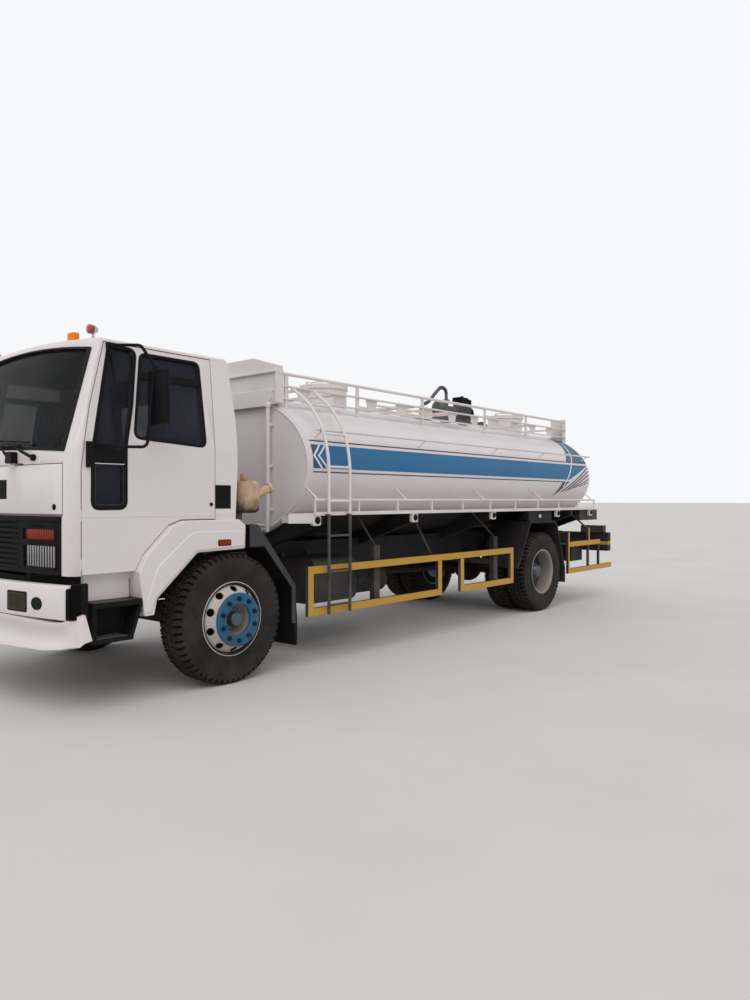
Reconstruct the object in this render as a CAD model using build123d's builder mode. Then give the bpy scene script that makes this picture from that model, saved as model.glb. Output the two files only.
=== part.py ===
"""Two-axle tanker truck with a tilting forward-control cab and an elliptical water tank.

Millimetres. Front faces -Y, the truck's left side is +X, +Z is up. The origin is on the ground at the middle of
the bounding box. Lengthwise places are written as stations, measured rearwards from the front axle.
"""

import os

from build123d import *

# Driving dimensions: axles and overall length
WHEELBASE = 5300
FRONT_OVERHANG = 1500
REAR_OVERHANG = 2360
FRONT_AXLE_Y = (FRONT_OVERHANG - WHEELBASE - REAR_OVERHANG) / 2
REAR_AXLE_Y = FRONT_AXLE_Y + WHEELBASE

# Wheels
TYRE_RADIUS = 527
TYRE_HALF_WIDTH = 140
TYRE_SHOULDER = 24
TYRE_BEAD_RADIUS = 285
TYRE_BEAD_HALF_WIDTH = 118
RIM_FLANGE_RADIUS = 298
RIM_FLANGE_THICKNESS = 10
RIM_WALL = 14
DISC_THICKNESS = 14
DISC_OFFSET = 165
NUT_RING_RADIUS = 185
HUB_RADIUS = 108
HUB_STANDOUT = 45
HAND_HOLES = 10
HAND_HOLE_RADIUS = 21
HAND_HOLE_CIRCLE = 222
WHEEL_X = 1060
TWIN_SPACING = 335

# Steering and axles
KING_PIN_X = 870
KING_PIN_RADIUS = 22
KING_PIN_CLEARANCE = 0.4
BOSS_RADIUS = 48
BOSS_HALF_HEIGHT = 80
KNUCKLE_ARM = 34
KNUCKLE_GAP = 1
SPINDLE_RADIUS = 42
SPINDLE_CLEARANCE = 0.4
AXLE_BEAM_HEIGHT = 100
AXLE_BEAM_WIDTH = 90
AXLE_DROP = 70
REAR_TUBE_RADIUS = 72
DIFFERENTIAL_RADIUS = 200
SPRING_HALF_LENGTH = 780
SPRING_THICKNESS = 70
SPRING_WIDTH = 72

# Chassis frame
RAIL_OUTER = 430
RAIL_WIDTH = 70
RAIL_TOP = 990
RAIL_HEIGHT = 250
RAIL_FRONT = -1288
RAIL_REAR = WHEELBASE + 2150
CROSS_WIDTH = 90
CROSS_HEIGHT = 160

# Cab outline
CAB_HALF_WIDTH = 1150
CAB_TUMBLEHOME = 72
CAB_ROOF_HALF_WIDTH = CAB_HALF_WIDTH - CAB_TUMBLEHOME
CAB_WAIST = 1900
CAB_FRONT = -1420
CAB_FRONT_CORNER = -1345
CAB_CORNER_RADIUS = 80
CAB_BOTTOM = 965
CAB_ROOF = 2640
CAB_CROWN = 2685
CAB_ROOF_CORNER = 24
SCREEN_LOW = 1835
SCREEN_TOP = 2585
SCREEN_LEAN = 250
CAB_REAR = 84
CAB_REAR_BOTTOM = 62
CAB_REAR_TOP = 24
CAB_REAR_CORNER = 120
CAB_FLOOR = 1330
WALL = 45
TUNNEL_HALF_WIDTH = 450
TUNNEL_TOP = 1290
ARCH_POINTS = ((-471, 1330), (-585, 1292), (-803, 1083), (-867, 965))

# Cab pivot
PIVOT_STATION = -1270
PIVOT_Z = 1010
PIVOT_PIN_RADIUS = 25
PIVOT_CLEARANCE = 0.5

# Doors
DOOR_GAP = 8
DOOR_TOP = 2608
DOOR_REAR = -150
DOOR_FRONT_TOP = -1073
DOOR_FRONT_HIGH = -1205
DOOR_FRONT_WAIST = -1254
DOOR_FRONT_BOTTOM = -1278
DOOR_AXIS_X = CAB_HALF_WIDTH - 4
ROOF_SEAM = DOOR_TOP + DOOR_GAP
FRONT_SEAM = DOOR_FRONT_TOP - 2
DOOR_BARRELS = ((1000, 1080), (1340, 1420))
GLASS = 6
GLASS_INSET = 18

# Front panels
GRILLE_HALF_WIDTH = CAB_HALF_WIDTH - 120
GRILLE_TOP = 1372
FLAP_BOTTOM = 1390
FLAP_TOP = 1736
FLAP_HALF_WIDTH = CAB_HALF_WIDTH - 118
FLAP_THICKNESS = 25
FLAP_GAP = 6
FLAP_SIDE_GAP = 10

# Bumper
BUMPER_TOP = 900
BUMPER_BOTTOM = 668
BUMPER_DEPTH = 75
BUMPER_HALF_WIDTH = CAB_HALF_WIDTH - 60
BUMPER_CORNER_STATION = -1395
LIP_TOP = 655
LIP_BOTTOM = 445

# Fenders and steps
FENDER_INNER = 900
FENDER_OUTER = CAB_HALF_WIDTH + 55
FENDER_WALL = 28
STEP_FRONT = -1226
STEP_OUTER = CAB_HALF_WIDTH + 50
STEP_INNER = CAB_HALF_WIDTH - 150
STEP_TOP = 775
STEP_BOTTOM = 490

# Tank
TANK_HALF_WIDTH = 1150
TANK_HALF_HEIGHT = 720
TANK_CENTRE_Z = 1810
TANK_FRONT = 920
TANK_REAR = WHEELBASE + 1580
TANK_EDGE = 40
SEAT_CLEARANCE = 0.3
SUBFRAME_TOP = 1070
SADDLE_STATIONS = (TANK_FRONT + 80, TANK_FRONT + 1520, WHEELBASE - 1280, WHEELBASE + 830, TANK_REAR - 100)
SADDLE_THICKNESS = 70
TRAY_OUTER = TANK_HALF_WIDTH + 85
TRAY_TOP = 1366
TRAY_THICKNESS = 20
TRAY_FRONT = TANK_FRONT - 12
TRAY_RAIL_Z = 1487
TRAY_POST_COUNT = 9
TRAY_POST_FIRST = TANK_FRONT + 596
TRAY_POST_LAST = TANK_REAR - 568
TRAY_STAYS = (TANK_FRONT + 40, TANK_FRONT + 1350, WHEELBASE - 1520, WHEELBASE - 60, TANK_REAR - 80)
WALKWAY_X = 755
WALKWAY_LOW = 2450
WALKWAY_HIGH = 2570
HANDRAIL_Z = 2680
WALKWAY_POSTS = (
    TANK_FRONT + 80, TANK_FRONT + 1100, TANK_FRONT + 2250, WHEELBASE - 760, WHEELBASE + 330, TANK_REAR - 80,
)
MANHOLE_STATIONS = (TANK_FRONT + 1380, TANK_REAR - 530)
MANHOLE_RADIUS = 260
MANHOLE_TOP = 2730
LID_THICKNESS = 45
LID_BARREL = 10

# Guards
GUARD_X = 1200
GUARD_THICKNESS = 40
GUARD_BAR = 70
GUARD_LOW = 478
GUARD_HIGH = 856


def at(station):
    """Y of a station, which is measured rearwards from the front axle."""
    return FRONT_AXLE_Y + station


def stations(points):
    """Outline points given as (station, z), as points of the YZ plane."""
    return [(at(station), z) for station, z in points]


def block(x, y, z, mode=Mode.ADD):
    """Box between two values on each axis, in the active part."""
    with Locations(((x[0] + x[1]) / 2, (y[0] + y[1]) / 2, (z[0] + z[1]) / 2)):
        Box(x[1] - x[0], y[1] - y[0], z[1] - z[0], mode=mode)


def side_prism(points, x, mode=Mode.ADD, radius=0):
    """Solid with a side outline of (y, z) points, between two values of x, in the active part."""
    with BuildSketch(Plane.YZ.offset(x[0])) as outline:
        with BuildLine():
            Polyline(*points, close=True)
        make_face()
        if radius:
            fillet(outline.vertices(), radius)
    extrude(outline.sketch, amount=x[1] - x[0], mode=mode)


def front_prism(points, y, mode=Mode.ADD, radius=0):
    """Solid with a front outline of (x, z) points, between two values of y, in the active part."""
    with BuildSketch(Plane.XZ.offset(-y[0])) as outline:
        with BuildLine():
            Polyline(*points, close=True)
        make_face()
        if radius:
            fillet(outline.vertices(), radius)
    extrude(outline.sketch, amount=-(y[1] - y[0]), mode=mode)


def plan_prism(points, z, mode=Mode.ADD, radius=0):
    """Solid with a plan outline of (x, y) points, between two values of z, in the active part."""
    with BuildSketch(Plane.XY.offset(z[0])) as outline:
        with BuildLine():
            Polyline(*points, close=True)
        make_face()
        if radius:
            fillet(outline.vertices(), radius)
    extrude(outline.sketch, amount=z[1] - z[0], mode=mode)


def rod(start, end, radius, mode=Mode.ADD):
    """Round bar between two points, in the active part."""
    way = Vector(*end) - Vector(*start)
    with BuildSketch(Plane(origin=start, z_dir=way)) as section:
        Circle(radius)
    extrude(section.sketch, amount=way.length, mode=mode)


def mirrored(points):
    """Points of a half outline with x positive, followed by their mirror images in reverse."""
    return list(points) + [(-x, other) for x, other in reversed(points)]


SIDES = (("left", 1), ("right", -1))
os.makedirs("parts", exist_ok=True)


def finish(part, label):
    """Labels a finished piece and writes its file."""
    part.label = label
    export_step(part, f"parts/{label}.step")


def on_side(part, side):
    """The left-hand part itself, or its mirror image for the right side."""
    return part if side > 0 else mirror(part, about=Plane.YZ)


def both_sides(half):
    """A left-hand piece together with its mirror image, as one part."""
    with BuildPart() as pair:
        for _, side in SIDES:
            add(on_side(half, side))
    return pair.part


# Cab body: three outlines, seen from the side, the front and above, cut out of each other

def cab_body(inset):
    """The cab's outer body, or the body that lies inset from it on every side."""
    side = stations([
        (CAB_FRONT - 50, CAB_BOTTOM), (CAB_FRONT - 50, CAB_CROWN + 5), (CAB_REAR_TOP, CAB_CROWN + 5), (53, 2390),
        (CAB_REAR - 2, 2145), (CAB_REAR, 1750), (CAB_REAR_BOTTOM, CAB_FLOOR), *ARCH_POINTS,
    ])
    flank = [(CAB_ROOF_HALF_WIDTH, CAB_ROOF), (CAB_HALF_WIDTH, CAB_WAIST), (CAB_HALF_WIDTH, 800)]
    lean = Vector(0, SCREEN_LEAN, SCREEN_TOP - SCREEN_LOW)
    upright = (Plane.XY.offset(700 + inset), SCREEN_LOW - 700 - inset, Vector(0, 0, 1))
    leaning = (Plane.XY.offset(SCREEN_LOW), lean.length + 300, lean.normalized())
    with BuildPart() as body:
        for plane, height, way in (upright, leaning):
            with BuildSketch(plane) as plan_view:
                with BuildLine():
                    ThreePointArc(
                        (CAB_HALF_WIDTH, at(CAB_FRONT_CORNER)), (0, at(CAB_FRONT)),
                        (-CAB_HALF_WIDTH, at(CAB_FRONT_CORNER))
                    )
                    Line((-CAB_HALF_WIDTH, at(CAB_FRONT_CORNER)), (-CAB_HALF_WIDTH, at(120)))
                    Line((-CAB_HALF_WIDTH, at(120)), (CAB_HALF_WIDTH, at(120)))
                    Line((CAB_HALF_WIDTH, at(120)), (CAB_HALF_WIDTH, at(CAB_FRONT_CORNER)))
                make_face()
                fillet(plan_view.vertices().group_by(Axis.Y)[0], CAB_CORNER_RADIUS)
                if inset:
                    offset(amount=-inset, kind=Kind.INTERSECTION)
            extrude(plan_view.sketch, amount=height, dir=way)
        with BuildSketch(Plane.YZ.offset(-CAB_HALF_WIDTH - 100)) as side_view:
            with BuildLine():
                Polyline(*side, close=True)
            make_face()
            rear_top = Vector(at(CAB_REAR_TOP), CAB_CROWN + 5)
            fillet(side_view.vertices().sort_by_distance(rear_top)[0], CAB_REAR_CORNER)
            if inset:
                offset(amount=-inset, kind=Kind.INTERSECTION)
        extrude(side_view.sketch, amount=2 * CAB_HALF_WIDTH + 200, mode=Mode.INTERSECT)
        with BuildSketch(Plane.XZ.offset(-at(200))) as front_view:
            with BuildLine():
                Polyline(*mirrored(flank))
                ThreePointArc(flank[0], (0, CAB_CROWN), (-CAB_ROOF_HALF_WIDTH, CAB_ROOF))
            make_face()
            if inset:
                offset(amount=-inset, kind=Kind.INTERSECTION)
            else:
                fillet(front_view.vertices().group_by(Axis.Y)[-1], CAB_ROOF_CORNER)
        extrude(front_view.sketch, amount=2000, mode=Mode.INTERSECT)
    return body.part


def tunnel(inset):
    """Engine tunnel under the cab floor, grown outwards by inset."""
    with BuildPart() as space:
        block(
            (-TUNNEL_HALF_WIDTH - inset, TUNNEL_HALF_WIDTH + inset),
            (at(CAB_FRONT + 2 * WALL) - inset, at(-300)),
            (800, TUNNEL_TOP + inset),
        )
    return space.part


DOOR_OUTLINE = [
    (DOOR_FRONT_TOP, DOOR_TOP), (DOOR_FRONT_HIGH, 2145), (DOOR_FRONT_WAIST, 1900), (DOOR_FRONT_BOTTOM, 1700),
    (DOOR_FRONT_BOTTOM, CAB_BOTTOM + DOOR_GAP),
    (ARCH_POINTS[3][0], CAB_BOTTOM + DOOR_GAP), (ARCH_POINTS[2][0], ARCH_POINTS[2][1] + DOOR_GAP),
    (ARCH_POINTS[1][0], ARCH_POINTS[1][1] + DOOR_GAP), (ARCH_POINTS[0][0], ARCH_POINTS[0][1] + DOOR_GAP),
    (DOOR_REAR, CAB_FLOOR + DOOR_GAP), (DOOR_REAR, DOOR_TOP),
]
DOOR_SPAN = (CAB_HALF_WIDTH - 250, CAB_HALF_WIDTH + 150)
MAIN_WINDOW = [(-784, 2566), (-264, 2566), (-236, 1905), (-868, 1940)]
MAIN_WINDOW_CORNER = 45
QUARTER_WINDOW = [
    (-1040, 2586), (-826, 2586), (-880, 2178), (-942, 1870), (-942, 1430), (-1200, 1430), (-1196, 1860),
]
QUARTER_WINDOW_CORNER = 60


def side_layer(inner_inset, outer_inset):
    """Front outline of a layer of the left cab side, between two depths below the outer skin."""
    return [
        (CAB_HALF_WIDTH - inner_inset, 800), (CAB_HALF_WIDTH - inner_inset, CAB_WAIST),
        (CAB_ROOF_HALF_WIDTH - inner_inset, CAB_ROOF), (CAB_ROOF_HALF_WIDTH - outer_inset, CAB_ROOF),
        (CAB_HALF_WIDTH - outer_inset, CAB_WAIST), (CAB_HALF_WIDTH - outer_inset, 800),
    ]


outer_body = cab_body(0)
inner_body = cab_body(WALL)
flap_bed = cab_body(FLAP_THICKNESS + FLAP_GAP)
CAB_SPAN = (at(-1600), at(400))

with BuildPart() as door_space:
    side_prism(stations(DOOR_OUTLINE), DOOR_SPAN)
    offset(amount=DOOR_GAP, kind=Kind.INTERSECTION)
    front_prism(side_layer(WALL + DOOR_GAP, -150), CAB_SPAN, mode=Mode.INTERSECT)

with BuildPart() as tunnel_wall:
    add(outer_body)
    add(tunnel(WALL), mode=Mode.INTERSECT)

SCREEN_SIDES = ((CAB_HALF_WIDTH - 85, 1823), (CAB_ROOF_HALF_WIDTH - 88, 2574))
SCREEN_MIDDLE = (1862, 2641)
SCREEN_CORNER = 32
REAR_WINDOW_OUTLINE = mirrored([(560, 1900), (560, 2380)])
with BuildPart() as windows:
    with BuildSketch(Plane.XZ.offset(-at(-1600))) as screen:
        with BuildLine():
            for (x, z), middle in zip(SCREEN_SIDES, SCREEN_MIDDLE):
                ThreePointArc((x, z), (0, middle), (-x, z))
            for side in (-1, 1):
                Line(*[(side * x, z) for x, z in SCREEN_SIDES])
        make_face()
        fillet(screen.vertices(), SCREEN_CORNER)
    extrude(screen.sketch, amount=-600)
    front_prism(REAR_WINDOW_OUTLINE, (at(-100), at(300)), radius=60)

with BuildPart() as cab_shell:
    add(outer_body)
    add(inner_body, mode=Mode.SUBTRACT)
    add(tunnel_wall.part)
    add(tunnel(0), mode=Mode.SUBTRACT)
    for name, side in SIDES:
        add(on_side(door_space.part, side), mode=Mode.SUBTRACT)
    add(windows.part, mode=Mode.SUBTRACT)
    # Opening behind the grille panel
    block((-GRILLE_HALF_WIDTH, GRILLE_HALF_WIDTH), (at(-1600), at(CAB_FRONT + 90)), (900, GRILLE_TOP), Mode.SUBTRACT)
    # Pivot pin holes through the tunnel walls
    with Locations(Location((0, at(PIVOT_STATION), PIVOT_Z), (0, 90, 0))):
        Cylinder(PIVOT_PIN_RADIUS + PIVOT_CLEARANCE, 2 * CAB_HALF_WIDTH - 200, mode=Mode.SUBTRACT)


FAR = 5000
SEAT_PAIR = CAB_HALF_WIDTH - 590

with BuildPart() as cab_roof:
    add(cab_shell.part)
    block((-FAR, FAR), (at(FRONT_SEAM), FAR), (ROOF_SEAM, FAR), Mode.INTERSECT)
finish(cab_roof.part, "cab_roof")

with BuildPart() as cab_floor:
    add(cab_shell.part)
    block((-FAR, FAR), (at(DOOR_FRONT_BOTTOM - DOOR_GAP), FAR), (0, CAB_FLOOR + WALL), Mode.INTERSECT)
finish(cab_floor.part, "cab_floor")

with BuildPart() as cab_rear:
    add(cab_shell.part)
    block((-FAR, FAR), (at(DOOR_REAR), FAR), (CAB_FLOOR + WALL, ROOF_SEAM), Mode.INTERSECT)
finish(cab_rear.part, "cab_rear")

FLAP_AXIS_Y = at(CAB_FRONT) - 1
FLAP_AXIS_Z = FLAP_TOP + FLAP_GAP / 2
FLAP_BARREL = 6
FLAP_BARREL_ENDS = (380, 460)

with BuildPart() as flap_recess:
    block(
        (-FLAP_HALF_WIDTH - FLAP_SIDE_GAP, FLAP_HALF_WIDTH + FLAP_SIDE_GAP), (at(-1600), at(-1200)),
        (GRILLE_TOP, FLAP_TOP + FLAP_GAP),
    )
    add(flap_bed, mode=Mode.SUBTRACT)

with BuildPart() as cab_front:
    add(cab_shell.part)
    block((-FAR, FAR), (at(-1000), FAR), (0, FAR), Mode.SUBTRACT)
    block((-FAR, FAR), (at(FRONT_SEAM), FAR), (ROOF_SEAM, FAR), Mode.SUBTRACT)
    block((-FAR, FAR), (at(DOOR_FRONT_BOTTOM - DOOR_GAP), FAR), (0, CAB_FLOOR + WALL), Mode.SUBTRACT)
    add(flap_recess.part, mode=Mode.SUBTRACT)
    for side in (-1, 1):
        ends = sorted(side * x for x in FLAP_BARREL_ENDS)
        block(ends, (FLAP_AXIS_Y, FLAP_AXIS_Y + 30), (FLAP_AXIS_Z + FLAP_BARREL + 0.3, FLAP_AXIS_Z + 20))
finish(cab_front.part, "cab_front")

with BuildPart() as front_flap:
    add(outer_body)
    block((-FLAP_HALF_WIDTH, FLAP_HALF_WIDTH), (at(-1600), at(-1200)), (FLAP_BOTTOM, FLAP_TOP), Mode.INTERSECT)
    add(cab_body(FLAP_THICKNESS), mode=Mode.SUBTRACT)
    for side in (-1, 1):
        ends = sorted(side * x for x in FLAP_BARREL_ENDS)
        rod((ends[0], FLAP_AXIS_Y, FLAP_AXIS_Z), (ends[1], FLAP_AXIS_Y, FLAP_AXIS_Z), FLAP_BARREL)
        block(ends, (FLAP_AXIS_Y - 3, FLAP_AXIS_Y + 30), (FLAP_TOP - 12, FLAP_TOP))
finish(front_flap.part, "front_flap")

LAMP_WELLS = (
    ((GRILLE_HALF_WIDTH - 470, GRILLE_HALF_WIDTH - 45), (1010, 1160)),
    ((GRILLE_HALF_WIDTH - 474, GRILLE_HALF_WIDTH - 70), (1208, 1286)),
)
with BuildPart() as lamp_boxes:
    for _, side in SIDES:
        for (near, far), heights in LAMP_WELLS:
            block(sorted((side * near, side * far)), (at(-1600), at(-1378)), heights)

with BuildPart() as grille_panel:
    add(outer_body)
    block((-GRILLE_HALF_WIDTH, GRILLE_HALF_WIDTH), (at(-1600), at(CAB_FRONT + 90)), (900, GRILLE_TOP),
          Mode.INTERSECT)
    add(inner_body, mode=Mode.SUBTRACT)
    # The lower flange is cut short where the frame's ends pass it as the cab tilts
    block((-TUNNEL_HALF_WIDTH, TUNNEL_HALF_WIDTH), (at(CAB_FRONT + WALL + 10), at(CAB_FRONT + 2 * WALL)),
          (900, CAB_BOTTOM + WALL), Mode.SUBTRACT)
    LOUVRES = 9
    LOUVRE_PITCH = 38
    LOUVRE_HALF_WIDTH = GRILLE_HALF_WIDTH - 530
    for row in range(LOUVRES):
        low = CAB_BOTTOM + 40 + row * LOUVRE_PITCH
        block((-LOUVRE_HALF_WIDTH, LOUVRE_HALF_WIDTH), (at(-1600), at(CAB_FRONT) + 22),
              (low, low + LOUVRE_PITCH / 2), Mode.SUBTRACT)
    add(lamp_boxes.part, mode=Mode.SUBTRACT)
finish(grille_panel.part, "grille_panel")

with BuildPart() as front_lamps:
    add(outer_body)
    add(lamp_boxes.part, mode=Mode.INTERSECT)
finish(front_lamps.part, "front_lamps")

# Glass of the windscreen and rear window
with BuildPart() as cab_glass:
    add(cab_body(GLASS_INSET))
    add(cab_body(GLASS_INSET + GLASS), mode=Mode.SUBTRACT)
    add(windows.part, mode=Mode.INTERSECT)
finish(cab_glass.part, "cab_glass")

WHEEL_HUB = Vector(SEAT_PAIR, at(-965), 1880)
COLUMN_WAY = Vector(0, 1, 3 ** 0.5) / 2
COLUMN_LENGTH = 420
SEAT_TOP = 1665
with BuildPart() as cab_interior:
    for x in (-SEAT_PAIR, SEAT_PAIR):
        block((x - 170, x + 170), (at(-640), at(-260)), (CAB_FLOOR + WALL, SEAT_TOP - 140))
        side_prism(stations([
            (-720, SEAT_TOP - 140), (-720, SEAT_TOP), (-250, SEAT_TOP - 20), (-160, 2260), (-80, 2260),
            (-110, SEAT_TOP - 140),
        ]), (x - 250, x + 250))
    side_prism(stations([(-1374, 1400), (-1374, 1812), (-1180, 1812), (-1130, 1720), (-1130, 1560), (-1250, 1400)]),
               (-CAB_HALF_WIDTH + 90, CAB_HALF_WIDTH - 90))
    rod(WHEEL_HUB - COLUMN_WAY * COLUMN_LENGTH, WHEEL_HUB - COLUMN_WAY * SEAT_CLEARANCE, 32)
    add(cab_body(WALL + SEAT_CLEARANCE), mode=Mode.INTERSECT)
finish(cab_interior.part, "cab_interior")

with BuildPart() as rim_ring:
    Torus(222, 15)

with BuildPart() as steering_wheel:
    with BuildSketch(Plane(origin=WHEEL_HUB, x_dir=(1, 0, 0), z_dir=COLUMN_WAY)) as spokes:
        Circle(62)
        with PolarLocations(115, 2):
            Rectangle(200, 34)
        Rectangle(34, 200, align=(Align.CENTER, Align.MAX))
    extrude(amount=22)
    add(Plane(origin=WHEEL_HUB, x_dir=(1, 0, 0), z_dir=COLUMN_WAY).offset(11).location * rim_ring.part)
finish(steering_wheel.part, "steering_wheel")

# Doors
with BuildPart() as door_panel:
    add(outer_body)
    side_prism(stations(DOOR_OUTLINE), DOOR_SPAN, mode=Mode.INTERSECT)
    front_prism(side_layer(WALL, -150), CAB_SPAN, mode=Mode.INTERSECT)
    side_prism(stations(MAIN_WINDOW), DOOR_SPAN, mode=Mode.SUBTRACT, radius=MAIN_WINDOW_CORNER)
    side_prism(stations(QUARTER_WINDOW), DOOR_SPAN, mode=Mode.SUBTRACT, radius=QUARTER_WINDOW_CORNER)
    for low, high in DOOR_BARRELS:
        rod(
            (DOOR_AXIS_X, at(DOOR_FRONT_BOTTOM) - DOOR_GAP / 2, low),
            (DOOR_AXIS_X, at(DOOR_FRONT_BOTTOM) - DOOR_GAP / 2, high), DOOR_GAP / 2 - 0.3,
        )
        block((DOOR_AXIS_X - 8, DOOR_AXIS_X - 2), (at(DOOR_FRONT_BOTTOM) - DOOR_GAP / 2, at(DOOR_FRONT_BOTTOM) + 2),
              (low, high))

with BuildPart() as door_glass:
    side_prism(stations(MAIN_WINDOW), DOOR_SPAN, radius=MAIN_WINDOW_CORNER)
    side_prism(stations(QUARTER_WINDOW), DOOR_SPAN, radius=QUARTER_WINDOW_CORNER)
    front_prism(side_layer(GLASS_INSET + GLASS, GLASS_INSET), CAB_SPAN, mode=Mode.INTERSECT)
    add(outer_body, mode=Mode.INTERSECT)

MIRROR_TUBE = 11
MIRROR_X = CAB_HALF_WIDTH + 200
MIRROR_STATION = -802
MIRROR_Z = 2218
with BuildPart() as door_mirror:
    with BuildLine() as loop:
        FilletPolyline(
            (CAB_ROOF_HALF_WIDTH + 18, at(-1045), 2590), (MIRROR_X - 85, at(-896), 2590),
            (MIRROR_X - 5, at(MIRROR_STATION - 30), 2440), (MIRROR_X - 15, at(MIRROR_STATION - 88), 1862),
            (MIRROR_X - 105, at(-990), 1862), (CAB_HALF_WIDTH + 8, at(-1215), 1876), radius=40,
        )
    with BuildSketch(Plane(origin=loop.line @ 0, z_dir=loop.line % 0)):
        Circle(MIRROR_TUBE)
    sweep()
    with Locations((MIRROR_X, at(MIRROR_STATION), MIRROR_Z)):
        Box(200, 70, 385)
    fillet(door_mirror.edges().filter_by(Axis.Z).group_by(Edge.length)[-1], 22)
    block((CAB_HALF_WIDTH - 6, CAB_HALF_WIDTH + 26), (at(-1250), at(-1205)), (1712, 1890))
    block((CAB_ROOF_HALF_WIDTH + 2, CAB_ROOF_HALF_WIDTH + 34), (at(-1062), at(-1032)), (2552, 2605))
    add(outer_body, mode=Mode.SUBTRACT)

for name, side in SIDES:
    finish(on_side(door_panel.part, side), f"door_{name}")
    finish(on_side(door_glass.part, side), f"door_glass_{name}")
    finish(on_side(door_mirror.part, side), f"mirror_{name}")


def boxed_arch(outline, x, wall):
    """Solid fender with a side outline, hollowed from its inner side, in the active part."""
    side_prism(outline, x)
    with BuildSketch(Plane.YZ.offset(x[0] - 1)) as hollow:
        with BuildLine():
            Polyline(*outline, close=True)
        make_face()
        offset(amount=-wall, kind=Kind.INTERSECTION)
    extrude(hollow.sketch, amount=x[1] - x[0] - wall + 1, mode=Mode.SUBTRACT)


FENDER_TIP = (-819, 641)
FENDER_OUTLINE = stations([
    (CAB_REAR_BOTTOM, CAB_FLOOR), *ARCH_POINTS, FENDER_TIP, (-739, 642), (-712, 761), (-353, 1080),
    (118, 1090), (124, 1284),
])
with BuildPart() as fender:
    boxed_arch(FENDER_OUTLINE, (FENDER_INNER, FENDER_OUTER), FENDER_WALL)
    block((STEP_INNER + 40, STEP_INNER + 68), (at(STEP_FRONT), at(-860)), (STEP_TOP, CAB_BOTTOM))
finish(both_sides(fender.part), "front_fenders")


def fender_front(z):
    """Station of the white fender's front face at a height."""
    (top_station, top_z), (low_station, low_z) = ARCH_POINTS[-1], FENDER_TIP
    return top_station + (low_station - top_station) * (top_z - z) / (top_z - low_z)


TREAD = 40
STEP_OUTLINE = stations([
    (STEP_FRONT, STEP_TOP), (fender_front(STEP_TOP), STEP_TOP),
    (fender_front(STEP_TOP - TREAD), STEP_TOP - TREAD), (-905, 520), (-910, STEP_BOTTOM), (STEP_FRONT, STEP_BOTTOM),
])
STEP_RECESS = stations([
    (STEP_FRONT + 30, STEP_TOP - TREAD), (-860, STEP_TOP - TREAD), (-935, 525), (STEP_FRONT + 30, 525),
])
with BuildPart() as step:
    side_prism(STEP_OUTLINE, (STEP_INNER, STEP_OUTER))
    side_prism(STEP_RECESS, (STEP_INNER + 60, STEP_OUTER + 10), mode=Mode.SUBTRACT)
finish(both_sides(step.part), "cab_steps")

with BuildPart() as roof_lamps:
    for side in (-1, 1):
        marker, beacon = side * (CAB_ROOF_HALF_WIDTH - 427), side * (CAB_ROOF_HALF_WIDTH - 168)
        block((marker - 39, marker + 39), (at(-1095), at(-1045)), (CAB_ROOF, 2731))
        rod((beacon, at(-1099), 2724), (beacon, at(-1021), 2724), 34)
        block((beacon - 10, beacon + 10), (at(-1070), at(-1050)), (CAB_ROOF - 10, 2700))
    add(outer_body, mode=Mode.SUBTRACT)
finish(roof_lamps.part, "roof_lamps")

# Chassis frame, with the cab's pivot pins and rear rests
BUMPER_BOW = BUMPER_CORNER_STATION + FRONT_OVERHANG
BUMPER_BACK_AT_RAIL = -FRONT_OVERHANG + BUMPER_DEPTH + BUMPER_BOW * (RAIL_OUTER / BUMPER_HALF_WIDTH) ** 2 + 0.5
CROSS_STATIONS = (-1240, 950, 2100, 3600, WHEELBASE - 550, WHEELBASE + 550, RAIL_REAR - 350)
HORN_TOP = 845
RAIL_INNER = RAIL_OUTER - RAIL_WIDTH
with BuildPart() as chassis_frame:
    for side in (-1, 1):
        ends = sorted((side * RAIL_OUTER, side * RAIL_INNER))
        block(ends, (at(RAIL_FRONT), at(RAIL_REAR)), (RAIL_TOP - RAIL_HEIGHT, RAIL_TOP))
        block(ends, (at(PIVOT_STATION - 45), at(PIVOT_STATION + 45)), (RAIL_TOP, PIVOT_Z + 40))
        rod(
            (side * (RAIL_OUTER - 20), at(PIVOT_STATION), PIVOT_Z),
            (side * (TUNNEL_HALF_WIDTH + WALL + 12), at(PIVOT_STATION), PIVOT_Z), PIVOT_PIN_RADIUS,
        )
        block(ends, (at(-60), at(40)), (RAIL_TOP, CAB_FLOOR - SEAT_CLEARANCE))
        block(ends, (at(BUMPER_BACK_AT_RAIL), at(RAIL_FRONT)), (RAIL_TOP - RAIL_HEIGHT, HORN_TOP))
    for station in CROSS_STATIONS:
        block(
            (-RAIL_INNER + SEAT_CLEARANCE, RAIL_INNER - SEAT_CLEARANCE),
            (at(station) - CROSS_WIDTH / 2, at(station) + CROSS_WIDTH / 2),
            (RAIL_TOP - RAIL_HEIGHT + 20, RAIL_TOP - RAIL_HEIGHT + 20 + CROSS_HEIGHT),
        )
finish(chassis_frame.part, "chassis_frame")

with BuildPart() as engine_and_drive:
    block((-290, 290), (at(-900), at(250)), (620, 1250))
    block((-260, 260), (at(-1050), at(-900)), (760, 1150))
    block((-330, 330), (at(-1160), at(-1050)), (720, 1240))
    block((-190, 190), (at(250), at(850)), (640, 960))
    block((-RAIL_INNER, RAIL_INNER), (at(-300), at(-220)), (820, 880))
    rod((0, at(850), 690), (0, at(2100), 650), 50)
    rod((0, at(2100), 650), (0, at(WHEELBASE - DIFFERENTIAL_RADIUS - 31), 560), 50)
finish(engine_and_drive.part, "engine_and_drive")

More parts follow.
